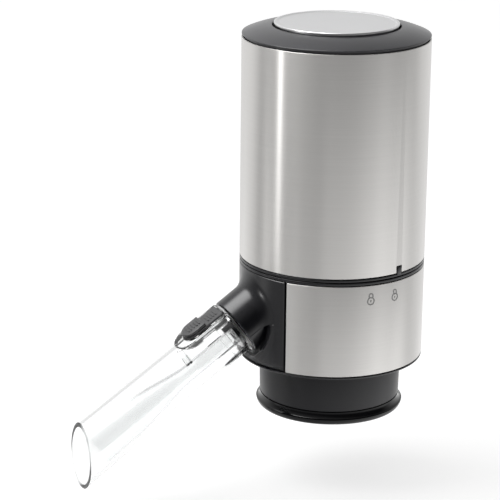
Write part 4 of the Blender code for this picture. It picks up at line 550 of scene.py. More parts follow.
def mark_cut_edges(mesh, is_cut):
    """Notes the faces whose corners all lie on a cut edge, which is a little frosted."""
    marks = mesh.attributes.new("cut_edge", "FLOAT", "FACE")
    for face in mesh.polygons:
        if all(is_cut(mesh.vertices[corner].co) for corner in face.vertices):
            marks.data[face.index].value = 1.0


# Each finish: its pieces' slot, its maker, the material's name, and a colour or the setting that
# holds it. Then plastic has roughness, grain, relief, spread of the gloss and specular level, and
# brushed metal has lines along and across, roughness, spread of the gloss, tone and relief. A
# finish with no slot only paints pieces that stay as the frame has them.
FINISHES = {
    "steel": ("brushed_steel", sleeve_steel, "sleeve_steel", "steel", 45.0, 6500.0, 0.345, 0.06, 0.14, 0.03),
    "button": ("button_silver", brushed, "button_satin", "button", 900.0, 900.0, 0.3, 0.06, 0.06, 0.015),
    "spring": (
        "spring_steel", brushed, "spring_steel_wire", (0.48, 0.48, 0.48), 400.0, 2500.0, 0.28, 0.1, 0.3, 0.05
    ),
    "contact": (
        None, brushed, "plated_contact_metal", (0.70, 0.68, 0.62), 400.0, 2500.0, 0.3, 0.1, 0.3, 0.05
    ),
    "clear": ("clear_plastic", clear_plastic, "clear_spout_plastic", "clear"),
    "bezel": ("bezel_metal", plastic, "bezel_satin_paint", "bezel", 0.3, 2600.0, 0.1),
    "black": ("black_plastic", plastic, "satin_black_plastic", "plastic", 0.24, 3500.0, 0.12, 0.1, 0.4),
    "neck": ("black_plastic", plastic, "neck_black_plastic", "plastic", 0.42, 3500.0, 0.12, 0.1, 0.35),
    "gloss": (
        "gloss_black_plastic", plastic, "gloss_black_plastic",
        (0.006, 0.006, 0.007), 0.12, 300.0, 0.02, 0.05, 0.22,
    ),
    "vent": ("black_plastic", plastic, "vent_black_plastic", (0.052, 0.052, 0.054), 0.36),
    "grey": ("grey_plastic", plastic, "grey_inner_plastic", (0.16, 0.16, 0.17), 0.45),
    "ink": ("grey_plastic", plastic, "printed_grey_ink", "ink", 0.5, 6000.0, 0.05),
    "silicone": ("silicone", plastic, "soft_silicone", (0.05, 0.05, 0.052), 0.6, 1800.0),
    "jacket": (None, plastic, "cell_jacket_film", (0.05, 0.16, 0.10), 0.3, 500.0, 0.03),
    "board": (None, plastic, "board_lacquer", (0.015, 0.12, 0.05), 0.42, 1200.0, 0.08),
}
FROST = 0.45
MATERIALS = {}


def finish_of(key):
    """The material of that finish, made on first use."""
    if key not in MATERIALS:
        slot, maker, name, colour, *values = FINISHES[key]
        if isinstance(colour, str):
            scene = bpy.context.scene
            colour = getattr(scene.aerator_marks if colour == "ink" else scene.aerator_finish, colour)
        MATERIALS[key] = maker(name, colour, *values)
    return MATERIALS[key]


# Geometry Nodes


def geometry_tree(name, inputs):
    """A tree that takes a mesh, the given inputs and a finish, and gives a mesh."""
    inputs = {"Geometry": GEOMETRY, **inputs, "Finish": MATERIAL}
    return new_tree("GeometryNodeTree", name, inputs, {"Geometry": GEOMETRY})


def end_tree(tree, given, made, geometry):
    """Ends a tree: instances become real and the finish is set."""
    real = add(tree, "GeometryNodeRealizeInstances", geometry)
    feed(tree, made[0], add(tree, "GeometryNodeSetMaterial", Geometry=real, Material=given["Finish"]))
    return tree


def run_tree(obj, tree, values):
    """Runs a tree on the object with the given inputs and keeps the result as a plain mesh."""
    modifier = obj.modifiers.new(tree.name, "NODES")
    modifier.node_group = tree
    for socket in tree.interface.items_tree:
        if socket.item_type == "SOCKET" and socket.in_out == "INPUT" and socket.name in values:
            modifier[socket.identifier] = values[socket.name]
    return bake(obj)


def lifted(tree, geometry, height):
    way = add(tree, "ShaderNodeCombineXYZ", Z=height)
    return add(tree, "GeometryNodeTransform", Geometry=geometry, Translation=way)


def rolled_sleeve_tree():
    """A rolled sheet with rounded edges, closed or open at the front."""
    sizes = {"Middle Radius": 0.03, "Wall": 0.0006, "Height": 0.03, "Base": 0.0, "Edge Round": 0.0002}
    more = {"Start": 0.0, "Sweep": 6.0, "Open": False, "Segments": 192}
    tree, given, made = geometry_tree("rolled_sleeve", {**sizes, **more})
    size = {"Resolution": given["Segments"], "Radius": given["Middle Radius"]}
    ring = add(tree, "GeometryNodeCurvePrimitiveCircle", **size)
    bow = add(tree, "GeometryNodeCurveArc", Start_Angle=given["Start"], Sweep_Angle=given["Sweep"], **size)
    choice = add(tree, "GeometryNodeSwitch", given["Open"], ring, bow, input_type="GEOMETRY")
    upright = add(tree, "GeometryNodeSetCurveNormal", choice, mode="Z_UP")
    sheet = add(tree, "GeometryNodeCurvePrimitiveQuadrilateral", Width=given["Wall"], Height=given["Height"])
    edge = add(
        tree, "GeometryNodeFilletCurve", mode="POLY", Curve=sheet, Count=5, Radius=given["Edge Round"]
    )
    roll = add(tree, "GeometryNodeCurveToMesh", Curve=upright, Profile_Curve=edge, Fill_Caps=True)
    lift = maths(tree, "ADD", maths(tree, "MULTIPLY", given["Height"], 0.5), given["Base"])
    return end_tree(tree, given, made, lifted(tree, roll, lift))


def screw_tree():
    """Slotted screws, one on each point of the mesh that comes in."""
    head = {"Head Radius": 0.0021, "Head Height": 0.0012, "Shank Radius": 0.0011, "Length": 0.009}
    tree, given, made = geometry_tree("slotted_screws", {**head, "Slot Width": 0.0006, "Slot Depth": 0.0005})

    def turned_part(radius, height, lift):
        size = dict(Radius_Bottom=radius, Radius_Top=radius, Depth=height)
        return lifted(tree, add(tree, "GeometryNodeMeshCone", Vertices=32, **size), lift)

    exact = dict(solver="EXACT")
    head_drop = maths(tree, "MULTIPLY", given["Head Height"], -1.0)
    head = turned_part(given["Head Radius"], given["Head Height"], head_drop)
    shank_length = maths(tree, "ADD", given["Length"], 0.0001)
    shank_drop = maths(tree, "SUBTRACT", head_drop, given["Length"])
    shank = turned_part(given["Shank Radius"], shank_length, shank_drop)
    across = maths(tree, "MULTIPLY", given["Head Radius"], 3.0)
    deep = maths(tree, "MULTIPLY", given["Slot Depth"], 2.0)
    size = add(tree, "ShaderNodeCombineXYZ", across, given["Slot Width"], deep)
    slot = add(tree, "GeometryNodeMeshCube", Size=size)
    slotted = add(tree, "GeometryNodeMeshBoolean", operation="DIFFERENCE", Mesh_1=head, Mesh_2=slot, **exact)
    whole = add(tree, "GeometryNodeMeshBoolean", operation="UNION", Mesh_2=slotted, **exact)
    feed(tree, whole.inputs["Mesh 2"], shank)
    points = add(tree, "GeometryNodeMeshToPoints", Mesh=given["Geometry"])
    return end_tree(
        tree, given, made, add(tree, "GeometryNodeInstanceOnPoints", Points=points, Instance=whole)
    )


def grip_tree():
    """A row of raised grip bars with round ends."""
    sizes = {"Length": 0.0048, "Width": 0.0007, "Height": 0.0006, "Pitch": 0.0018, "Bars": 3}
    tree, given, made = geometry_tree("grip_bars", sizes)
    outline = add(
        tree, "GeometryNodeCurvePrimitiveQuadrilateral", Width=given["Length"], Height=given["Width"]
    )
    bend = maths(tree, "MULTIPLY", given["Width"], 0.46)
    ends = add(tree, "GeometryNodeFilletCurve", mode="POLY", Curve=outline, Count=6, Radius=bend)
    filled = add(tree, "GeometryNodeFillCurve", ends)
    rise = dict(Individual=False, Offset_Scale=given["Height"])
    raised = add(tree, "GeometryNodeExtrudeMesh", Mesh=filled, **rise)
    closed = add(tree, "GeometryNodeJoinGeometry", raised)
    feed(tree, closed.inputs[0], add(tree, "GeometryNodeFlipFaces", filled))
    welded = add(tree, "GeometryNodeMergeByDistance", Geometry=closed, Distance=1e-6)
    step = add(tree, "ShaderNodeCombineXYZ", Y=given["Pitch"])
    row = add(tree, "GeometryNodeMeshLine", mode="OFFSET", Count=given["Bars"], Offset=step)
    return end_tree(
        tree, given, made, add(tree, "GeometryNodeInstanceOnPoints", Points=row, Instance=welded)
    )


# Sleeves and their marks

PRINT_DEPTH = 0.00002
TAB_ANGLE = radians(17.9)
TAB_HALF_WIDTH = 0.0010
TAB_HEIGHT = 0.0026
TAB_THICKNESS = 0.0007
TAB_RADIUS = 0.0327
SEAM_TOP = UPPER_BASE - GAP
MARK_MIDDLE = LOWER_TOP - 0.00475
MARK_TURN = radians(3.0)


class AERATOR_OT_sleeves(Operator):
    """Rolls the two brushed steel sleeves"""

    bl_idname = "aerator.sleeves"
    bl_label = "Steel sleeves"

    def execute(self, context):
        sizes = context.scene.aerator_sleeves
        tree = rolled_sleeve_tree()
        for name, body, base, top in (
            ("upper_sleeve", "cover", UPPER_BASE, UPPER_TOP),
            ("lower_sleeve", "base", LOWER_BASE, LOWER_TOP),
        ):
            obj = raw_object(name + "_sheet", bmesh.new())
            values = {
                "Middle Radius": BODY_RADIUS - PRINT_DEPTH - sizes.wall / 2, "Wall": sizes.wall,
                "Height": top - base, "Base": base, "Edge Round": sizes.edge_round,
                "Start": sizes.window / 2 - QUARTER_TURN, "Sweep": FULL_TURN - sizes.window,
                "Open": body == "base", "Segments": sizes.segments, "Finish": finish_of("steel"),
            }
            run_tree(obj, tree, values)
            if body == "cover":
                half = TAB_HALF_WIDTH + GAP
                low = (BODY_RADIUS - 2 * sizes.wall, -half, base - OVERRUN)
                notch = block(low, (BODY_RADIUS + sizes.wall, half, SEAM_TOP + TAB_HEIGHT + GAP))
                cut(obj, turned(notch, TAB_ANGLE))
            wrap_uv(obj.data)
            finish_piece(obj, "steel", body, [name], angle=40.0)
        return {"FINISHED"}


def stroke(points, width, closed, angle, height):
    """One printed line through (across, up) points on the sleeve, as a thin solid."""
    outer, inner = BODY_RADIUS, BODY_RADIUS - 3 * PRINT_DEPTH
    columns = []
    for i, here in enumerate(points):
        before = points[i - 1] if closed or i else here
        after = points[(i + 1) % len(points)] if closed or i < len(points) - 1 else here
        way = (Vector(after) - Vector(before)).normalized()
        side = Vector((-way.y, way.x)) * width / 2
        left, right = Vector(here) + side, Vector(here) - side
        section = ((left, outer), (right, outer), (right, inner), (left, inner))
        columns.append(
            [(*on_ring(r, angle + flat.x / BODY_RADIUS), height + flat.y) for flat, r in section]
        )
    return skin(columns, loop=closed)


def bow(up, radius, sweep, steps):
    """Points of an arc on the flat mark, with its centre that far up."""
    ways = [sweep * i / steps for i in range(steps + 1)]
    return [(x, up + y) for x, y in (on_ring(radius, way) for way in ways)]


def padlock(angle, size, line, is_open):
    """A plain padlock outline: a round body, a keyhole and a shackle."""
    body_radius, half = size * 0.30, size * 0.17
    shoulder = -size * 0.18 + sqrt(body_radius**2 - half**2)
    left_foot = shoulder + size * 0.14 if is_open else shoulder
    shackle = [(half, shoulder)] + bow(size * 0.30, half, HALF_TURN, 14) + [(-half, left_foot)]
    lines = (
        (bow(-size * 0.18, body_radius, FULL_TURN * 31 / 32, 31), line, True),
        (bow(-size * 0.16, line * 0.35, FULL_TURN * 11 / 12, 11), line * 0.68, True),
        ([(0.0, -size * 0.17), (0.0, -size * 0.29)], line * 0.7, False), (shackle, line, False),
    )
    return [stroke(*drawn, angle - MARK_TURN, MARK_MIDDLE) for drawn in lines]


class AERATOR_OT_marks(Operator):
    """Prints the closed and the open padlock on the lower sleeve"""

    bl_idname = "aerator.marks"
    bl_label = "Padlock marks"

    def execute(self, context):
        marks = context.scene.aerator_marks
        strokes = padlock(radians(0.5), marks.height, marks.line, False)
        strokes += padlock(TAB_ANGLE, marks.height, marks.line, True)
        obj = raw_object("padlock_marks", gathered(strokes))
        finish_piece(obj, "ink", "base", [], angle=32.0)
        return {"FINISHED"}


# Cover: index ring, bezel, button and spring

LUGS = 3
LUG_SPAN = radians(15)
LUG_HEIGHT = 0.0013
LUG_LIFT = 0.0018
COLLAR_RADIUS = 0.0279
COLLAR_LUG_RADIUS = 0.0288
UPSTAND_RADIUS = 0.0298
PLAIN_RADIUS = BODY_RADIUS - 0.00005
LINER_INNER = 0.0301
BUTTON_RADIUS = 0.0215
BEZEL_INNER = 0.02205
BEZEL_CROWN = 0.00040


def lugs(inner, outer, low):
    high = low + LUG_HEIGHT
    profile = rounded([(inner, low), (outer, low, EDGE), (outer, high, EDGE), (inner, high)], steps=3)
    starts = [a - LUG_SPAN / 2 for a in angles(LUGS, QUARTER_TURN)]
    return [lathe(profile, 8, sweep=LUG_SPAN, start=a) for a in starts]


class AERATOR_OT_index_ring(Operator):
    """Turns the black ring with the index tab under the cover"""

    bl_idname = "aerator.index_ring"
    bl_label = "Index ring"

    def execute(self, context):
        inner = COLLAR_LUG_RADIUS + GAP
        profile = [
            (inner, INDEX_BASE, HAIR), (PLAIN_RADIUS, INDEX_BASE, EDGE), (PLAIN_RADIUS, SEAM_TOP, EDGE),
            (UPSTAND_RADIUS, SEAM_TOP), (UPSTAND_RADIUS, INDEX_TOP, EDGE), (inner, INDEX_TOP, EDGE),
        ]
        obj = lathed("index_ring_with_tab", profile, 144)
        join(obj, *lugs(COLLAR_RADIUS + GAP, inner + GAP, INDEX_BASE + LUG_LIFT))
        low = (TAB_RADIUS - TAB_THICKNESS, -TAB_HALF_WIDTH, SEAM_TOP - 0.0004)
        tab = block(low, (TAB_RADIUS, TAB_HALF_WIDTH, SEAM_TOP + TAB_HEIGHT))
        front = [e for e in tab.edges if all(v.co.x > TAB_RADIUS - 1e-5 for v in e.verts)]
        bmesh.ops.bevel(tab, geom=front, offset=0.00018, segments=3, affect="EDGES", profile=0.5)
        join(obj, turned(tab, TAB_ANGLE))
        finish_piece(obj, "black", "cover", ["index_ring"])
        return {"FINISHED"}


class AERATOR_OT_bezel(Operator):
    """Turns the sloping metal ring round the button"""

    bl_idname = "aerator.bezel"
    bl_label = "Bezel"

    def execute(self, context):
        wall = 0.0012
        skirt = LINER_INNER - GAP
        seat = BEZEL_BASE + 0.0050
        web = seat - 0.0016
        edge_base = UPPER_TOP + 0.0009
        edge_top = edge_base + 0.0003
        edge_radius = BODY_RADIUS - 0.0001
        inner_base = BEZEL_TOP - 0.0060
        profile = [
            (BEZEL_INNER, inner_base, HAIR), (BEZEL_INNER + wall, inner_base),
            (BEZEL_INNER + wall, web), (skirt - wall, web), (skirt - wall, BEZEL_BASE),
            (skirt, BEZEL_BASE, EDGE), (skirt, seat), (LINER_RADIUS, seat), (LINER_RADIUS, edge_base),
            (edge_radius, edge_base, HAIR), (edge_radius, edge_top, EDGE),
        ]
        for share in (i / 12 for i in range(1, 12)):
            rise = (BEZEL_TOP - edge_top) * share + BEZEL_CROWN * 4 * share * (1 - share)
            profile.append((edge_radius + (BEZEL_INNER - edge_radius) * share, edge_top + rise))
        profile.append((BEZEL_INNER, BEZEL_TOP, 0.00025))
        obj = lathed("bezel_ring", profile, 192)
        finish_piece(obj, "bezel", "cover", ["top_bezel"])
        return {"FINISHED"}


class AERATOR_OT_button(Operator):
    """Turns the dished push button"""

    bl_idname = "aerator.button"
    bl_label = "Push button"

    def execute(self, context):
        wall, dish, edge = 0.0012, 0.0003, 0.0008
        flange_top = BUTTON_BASE + 0.0011
        face = BUTTON_TOP - dish
        inner, rim = BUTTON_RADIUS - wall, BUTTON_RADIUS - edge
        stem = BUTTON_RADIUS - 0.0004
        profile = [
            (0.0, face - wall), (inner, face - wall, SOFT), (inner, BUTTON_BASE),
            (BUTTON_FLANGE_RADIUS, BUTTON_BASE, HAIR), (BUTTON_FLANGE_RADIUS, flange_top, HAIR),
            (stem, flange_top), (stem, BUTTON_TOP - 0.0008),
            (BUTTON_RADIUS, BUTTON_TOP - 0.0007, 0.00005), (BUTTON_RADIUS, BUTTON_TOP, 0.00025),
            (rim - 0.0001, BUTTON_TOP, ROUND), (rim - edge, face, ROUND),
        ]
        profile += [(rim - edge - 0.0020 * i, face - 0.00002 * i) for i in range(1, 9)]
        profile.append((0.0, profile[-1][1]))
        obj = lathed("dished_button", profile, 192, steps=7)
        finish_piece(obj, "button", "button", ["push_button"])
        return {"FINISHED"}


class AERATOR_OT_spring(Operator):
    """Winds the button's return spring"""

    bl_idname = "aerator.spring"
    bl_label = "Return spring"

    def execute(self, context):
        low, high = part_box("button_spring")
        wire, turns, steps = 0.0004, 3, 24
        coil = high.x - wire
        start, end = low.z + wire, high.z - wire
        section = [on_ring(wire, a) for a in angles(14)]
        rings = []
        for t in (i / (turns * steps) for i in range(turns * steps + 1)):
            x, y = on_ring(1.0, FULL_TURN * turns * t)
            height = start + (end - start) * t
            rings.append([(x * (coil + r), y * (coil + r), height + z) for r, z in section])
        obj = raw_object("return_spring", skin(rings))
        bodies = ("cover", "button", (0.0, 0.0, start), (0.0, 0.0, end))
        finish_piece(obj, "spring", bodies, ["button_spring"], angle=60.0)
        return {"FINISHED"}


# Lower body: housing, deck, screws, neck, base ring, seal and nipple

POST_ANGLES = [radians(a) for a in (-28, 45, 135, 208)]
POST_RING = 0.0240
POST_PLACES = [on_ring(POST_RING, a) for a in POST_ANGLES]
POST_RADIUS = 0.0026
SCREW_HEAD = 0.0021
SCREW_SHANK = 0.0011
HEAD_HEIGHT = 0.0012
SCREW_LENGTH = 0.0090
HOUSING_INNER = 0.0298
NIPPLE_PLACE = (0.0, -0.0045)
OUTLET_PLACE = (0.0, 0.0050)
NIPPLE_RADIUS = 0.0024
OUTLET_RADIUS = 0.0019
PANEL_HALF_ANGLE = radians(33.4)
DECK_PLATE_TOP = DECK_TOP - 0.0055
HOUSING_FLOOR = HOUSING_BASE + 0.0020


def port_rods(low, high):
    """The holes that let the straw nipple and the air outlet through."""
    ports = ((NIPPLE_RADIUS, NIPPLE_PLACE), (OUTLET_RADIUS, OUTLET_PLACE))
    return [rod(radius + GAP, low, high, place) for radius, place in ports]


class AERATOR_OT_housing(Operator):
    """Turns the lower housing with its screw posts"""

    bl_idname = "aerator.housing"
    bl_label = "Lower housing"

    def execute(self, context):
        rim_top = HOUSING_BASE + 0.0007
        outer = BODY_RADIUS - 0.0009
        profile = [
            (0.0, HOUSING_BASE), (PLAIN_RADIUS, HOUSING_BASE, 0.0005), (PLAIN_RADIUS, rim_top, 0.00015),
            (outer, rim_top), (outer, LOWER_TOP, EDGE), (HOUSING_INNER, LOWER_TOP, EDGE),
            (HOUSING_INNER, HOUSING_FLOOR, ROUND), (0.0, HOUSING_FLOOR),
        ]
        obj = lathed("housing_tub", profile, 144)
        foot = HOUSING_FLOOR - 0.0004
        join(obj, *[rod(POST_RADIUS, foot, LOWER_TOP, at) for at in POST_PLACES])
        low, high = DECK_PLATE_TOP - HEAD_HEIGHT - SCREW_LENGTH - GAP, LOWER_TOP + OVERRUN
        cut(obj, *[rod(SCREW_SHANK + GAP, low, high, at, 20) for at in POST_PLACES])
        half = PANEL_HALF_ANGLE + GAP / outer
        near, far = HOUSING_INNER - GAP, outer + OVERRUN
        slot = [(near, LOWER_BASE), (far, LOWER_BASE), (far, high), (near, high)]
        cut(obj, lathe(slot, 32, sweep=2 * half, start=-QUARTER_TURN - half))
        cut(obj, *port_rods(HOUSING_BASE - OVERRUN, HOUSING_FLOOR + OVERRUN))
        finish_piece(obj, "black", "base", ["lower_housing"])
        return {"FINISHED"}


class AERATOR_OT_deck(Operator):
    """Turns the deck with the bayonet collar"""

    bl_idname = "aerator.deck"
    bl_label = "Bayonet deck"

    def execute(self, context):
        spigot = HOUSING_INNER - GAP
        spigot_inner = spigot - 0.0012
        collar_inner = COLLAR_RADIUS - 0.0014
        plate_base = LOWER_TOP + GAP
        seam_top = plate_base + 0.0010
        wire_hole = 0.0080
        profile = [
            (wire_hole, plate_base), (spigot_inner, plate_base), (spigot_inner, DECK_BASE),
            (spigot, DECK_BASE, EDGE), (spigot, plate_base), (PLAIN_RADIUS, plate_base, EDGE),
            (PLAIN_RADIUS, seam_top, EDGE), (COLLAR_RADIUS, seam_top), (COLLAR_RADIUS, DECK_TOP, SOFT),
            (collar_inner, DECK_TOP, SOFT), (collar_inner, DECK_PLATE_TOP),
            (wire_hole, DECK_PLATE_TOP, SOFT),
        ]
        obj = lathed("deck_with_collar", profile, 144)
        low = INDEX_BASE + LUG_LIFT + LUG_HEIGHT + GAP
        join(obj, *lugs(COLLAR_RADIUS - 0.0004, COLLAR_LUG_RADIUS, low))
        seat = DECK_PLATE_TOP - HEAD_HEIGHT - GAP
        head, shank = SCREW_HEAD + GAP, SCREW_SHANK + GAP
        low, high = plate_base - OVERRUN, DECK_PLATE_TOP + OVERRUN
        stepped = [(0.0, low), (shank, low), (shank, seat), (head, seat), (head, high), (0.0, high)]
        cut(obj, *[lathe(stepped, 32, place) for place in POST_PLACES])
        finish_piece(obj, "black", "base", ["bayonet_deck"])
        return {"FINISHED"}


class AERATOR_OT_screws(Operator):
    """Sets the four slotted screws into the deck"""

    bl_idname = "aerator.screws"
    bl_label = "Deck screws"

    def execute(self, context):
        bm = bmesh.new()
        for place in POST_PLACES:
            bm.verts.new((*place, SCREW_TOP))
        obj = raw_object("deck_screws", bm)
        values = {
            "Head Radius": SCREW_HEAD, "Head Height": HEAD_HEIGHT - GAP, "Shank Radius": SCREW_SHANK,
            "Length": SCREW_TOP - SCREW_BASE - HEAD_HEIGHT + GAP, "Slot Width": 0.0006,
            "Slot Depth": 0.0005, "Finish": finish_of("spring"),
        }
        run_tree(obj, screw_tree(), values)
        finish_piece(obj, "spring", "base", [f"deck_screw_{n}" for n in range(1, 5)], angle=32.0)
        return {"FINISHED"}


class AERATOR_OT_neck(Operator):
    """Turns the neck skirt, the gloss ring at its foot and the soft seal inside"""

    bl_idname = "aerator.neck"
    bl_label = "Neck and base ring"

    def execute(self, context):
        foot_radius = NECK_RADIUS - 0.0003
        inner = foot_radius - 0.0024
        ring_inner = foot_radius - 0.0007
        spigot = ring_inner - GAP
        top_wall = NECK_TOP - 0.0018
        port = 0.0115
        shoulder = LIP_TOP + GAP
        skirt = [
            (inner, NECK_BASE), (spigot, NECK_BASE), (spigot, shoulder), (foot_radius, shoulder, SOFT),
            (NECK_RADIUS, NECK_TOP, SOFT), (port, NECK_TOP, EDGE), (port, top_wall, EDGE),
            (inner, top_wall),
        ]
        obj = lathed("neck_tube", skirt, 144)
        finish_piece(obj, "neck", "base", ["neck_skirt"])
        floor = NECK_BASE - GAP
        flare, drop, toe_height, toe_round = LIP_RADIUS - foot_radius, 0.0024, 0.0019, 0.0013
        bend = quarter(1.0, 8)
        ring = [(ring_inner, floor), (ring_inner, LIP_TOP)]
        ring += [(foot_radius + flare * a, LIP_TOP - drop * b) for a, b in bend]
        ring += [(LIP_RADIUS - toe_round * a, toe_height * (1 - b)) for a, b in bend]
        ring += [(inner, LIP_BASE), (inner, floor)]
        obj = raw_object("gloss_foot_ring", lathe(ring, 192))
        finish_piece(obj, "gloss", "base", ["base_ring"])
        self.seal(inner - GAP)
        return {"FINISHED"}

    def seal(self, outer):
        bore = outer - 0.00705
        roof = SEAL_TOP - 0.0020
        lead = 0.0014
        half_rib, rib = 0.0008, 0.0007
        profile = [
            (0.0, SEAL_TOP), (outer, SEAL_TOP, SOFT), (outer, SEAL_BASE, EDGE),
            (bore + lead, SEAL_BASE, SOFT), (bore, SEAL_BASE + lead, ROUND),
        ]
        pitch = (roof - SEAL_BASE - lead) / 3
        for middle in (SEAL_BASE + lead + pitch * i for i in (1, 2)):
            profile += [
                (bore, middle - half_rib, ROUND), (bore - rib, middle, ROUND),
                (bore, middle + half_rib, ROUND),
            ]
        profile += [(bore, roof, 0.0005), (0.0, roof)]
        obj = lathed("ribbed_seal", profile, 128)
        cut(obj, *port_rods(roof - OVERRUN, SEAL_TOP + OVERRUN))
        finish_piece(obj, "silicone", "base", ["bottle_seal"], angle=50.0)


class AERATOR_OT_nipple(Operator):
    """Turns the barbed nipple for the straw"""

    bl_idname = "aerator.nipple"
    bl_label = "Straw nipple"

    def execute(self, context):
        bore, tip, spigot, flange = 0.0015, 0.0020, 0.0022, 0.0042
        flange_base = HOUSING_FLOOR + GAP
        flange_top = flange_base + 0.0010
        profile = [(bore, NIPPLE_BASE)]
        for foot in (NIPPLE_BASE + 0.0022 * i for i in range(3)):
            profile += [(tip, foot, HAIR), (NIPPLE_RADIUS, foot + 0.0016, HAIR)]
        profile += [
            (tip + 0.0001, NIPPLE_BASE + 0.0066), (NIPPLE_RADIUS, NIPPLE_BASE + 0.0072),
            (NIPPLE_RADIUS, flange_base), (flange, flange_base), (flange, flange_top, EDGE),
            (spigot, flange_top), (spigot, NIPPLE_TOP, EDGE), (bore, NIPPLE_TOP),
        ]
        obj = lathed("barbed_nipple", profile, 48, 3, NIPPLE_PLACE)
        finish_piece(obj, "grey", "base", ["straw_nipple"], angle=32.0)
        return {"FINISHED"}


# Front panel with its boss


def wall_point(x, y, radius):
    """Angle from the front and height where a line beside the spout's axis meets the upright wall."""
    height = SPOUT_ROOT_HEIGHT + y / cos(SPOUT_TILT)
    height -= SLOPE * sqrt(radius * radius - x * x)
    return asin(x / radius), height


def wall_reach(x, y, radius):
    """How far along the spout's axis that point lies."""
    depth = sqrt(radius * radius - x * x)
    return (depth - y * sin(SPOUT_TILT)) / cos(SPOUT_TILT)


def off_axis(angle, height, radius):
    """The (side, up) place beside the spout's axis of a point on the upright wall."""
    x = radius * sin(angle)
    y = height - SPOUT_ROOT_HEIGHT + SLOPE * sqrt(radius * radius - x * x)
    return x, y * cos(SPOUT_TILT)


def wall_ring(places, radius):
    """A ring on the upright wall from its (angle, height) places."""
    return [Vector((radius * sin(a), -radius * cos(a), height)) for a, height in places]


def axis_ring(ways, radii, reaches):
    """A ring round the spout's axis, with a radius and a reach for each way."""
    drawn = zip(ways, radii, reaches)
    return [SPOUT_FRAME @ Vector((*on_ring(radius, way), reach)) for way, radius, reach in drawn]


def between(first, last, share):
    return [a + (b - a) * share for a, b in zip(first, last)]


def panel_border(per_side):
    """Points round the panel's edge as (angle, height), beginning at its lower right corner."""
    half, low = PANEL_HALF_ANGLE, LOWER_BASE + GAP
    corners = [(half, low), (half, LOWER_TOP), (-half, LOWER_TOP), (-half, low)]
    sides = zip(corners, corners[1:] + corners[:1])
    return [between(*side, i / per_side) for side in sides for i in range(per_side)]


def blend_rings(first, last, radius, count):
    """Rings on the upright wall between two rings of (angle, height) points."""
    shares = [i / (count + 1) for i in range(1, count + 1)]
    return [wall_ring([between(a, b, t) for a, b in zip(first, last)], radius) for t in shares]


MOULD_LINE = [radians(a) for a in (2.2, 2.7, 3.4, 3.9)]
MOULD_STEP = 0.00016
MOULD_NOTCH = 0.00035
FOOT_MARGIN = 0.0003
GROOVE_WIDTH = 0.00115
GROOVE_DEPTH = 0.0020
BAND_HEIGHT = 0.00014
PANEL_ROUND = 0.00022
BORDER_STEPS, OUTER_RINGS, INNER_RINGS = 60, 9, 6
# How far the foot's rings stay apart, and how far they stay behind the boss's mouth
RING_STEP = 0.00004
FILLET_BACK = 0.0007
GROOVE_BACK = 0.0012


def below_middle(way):
    """0 on the boss's upper half and 1 on its lower half, with a quick change at the mould line."""
    drop = min(-way, HALF_TURN + way) if way < 0.0 else 0.0
    share = (drop - MOULD_LINE[0]) / (MOULD_LINE[-1] - MOULD_LINE[0])
    share = min(max(share, 0.0), 1.0)
    return share * share * (3 - 2 * share)


def on_mould_line(half):
    return 0.01 < half < 0.99


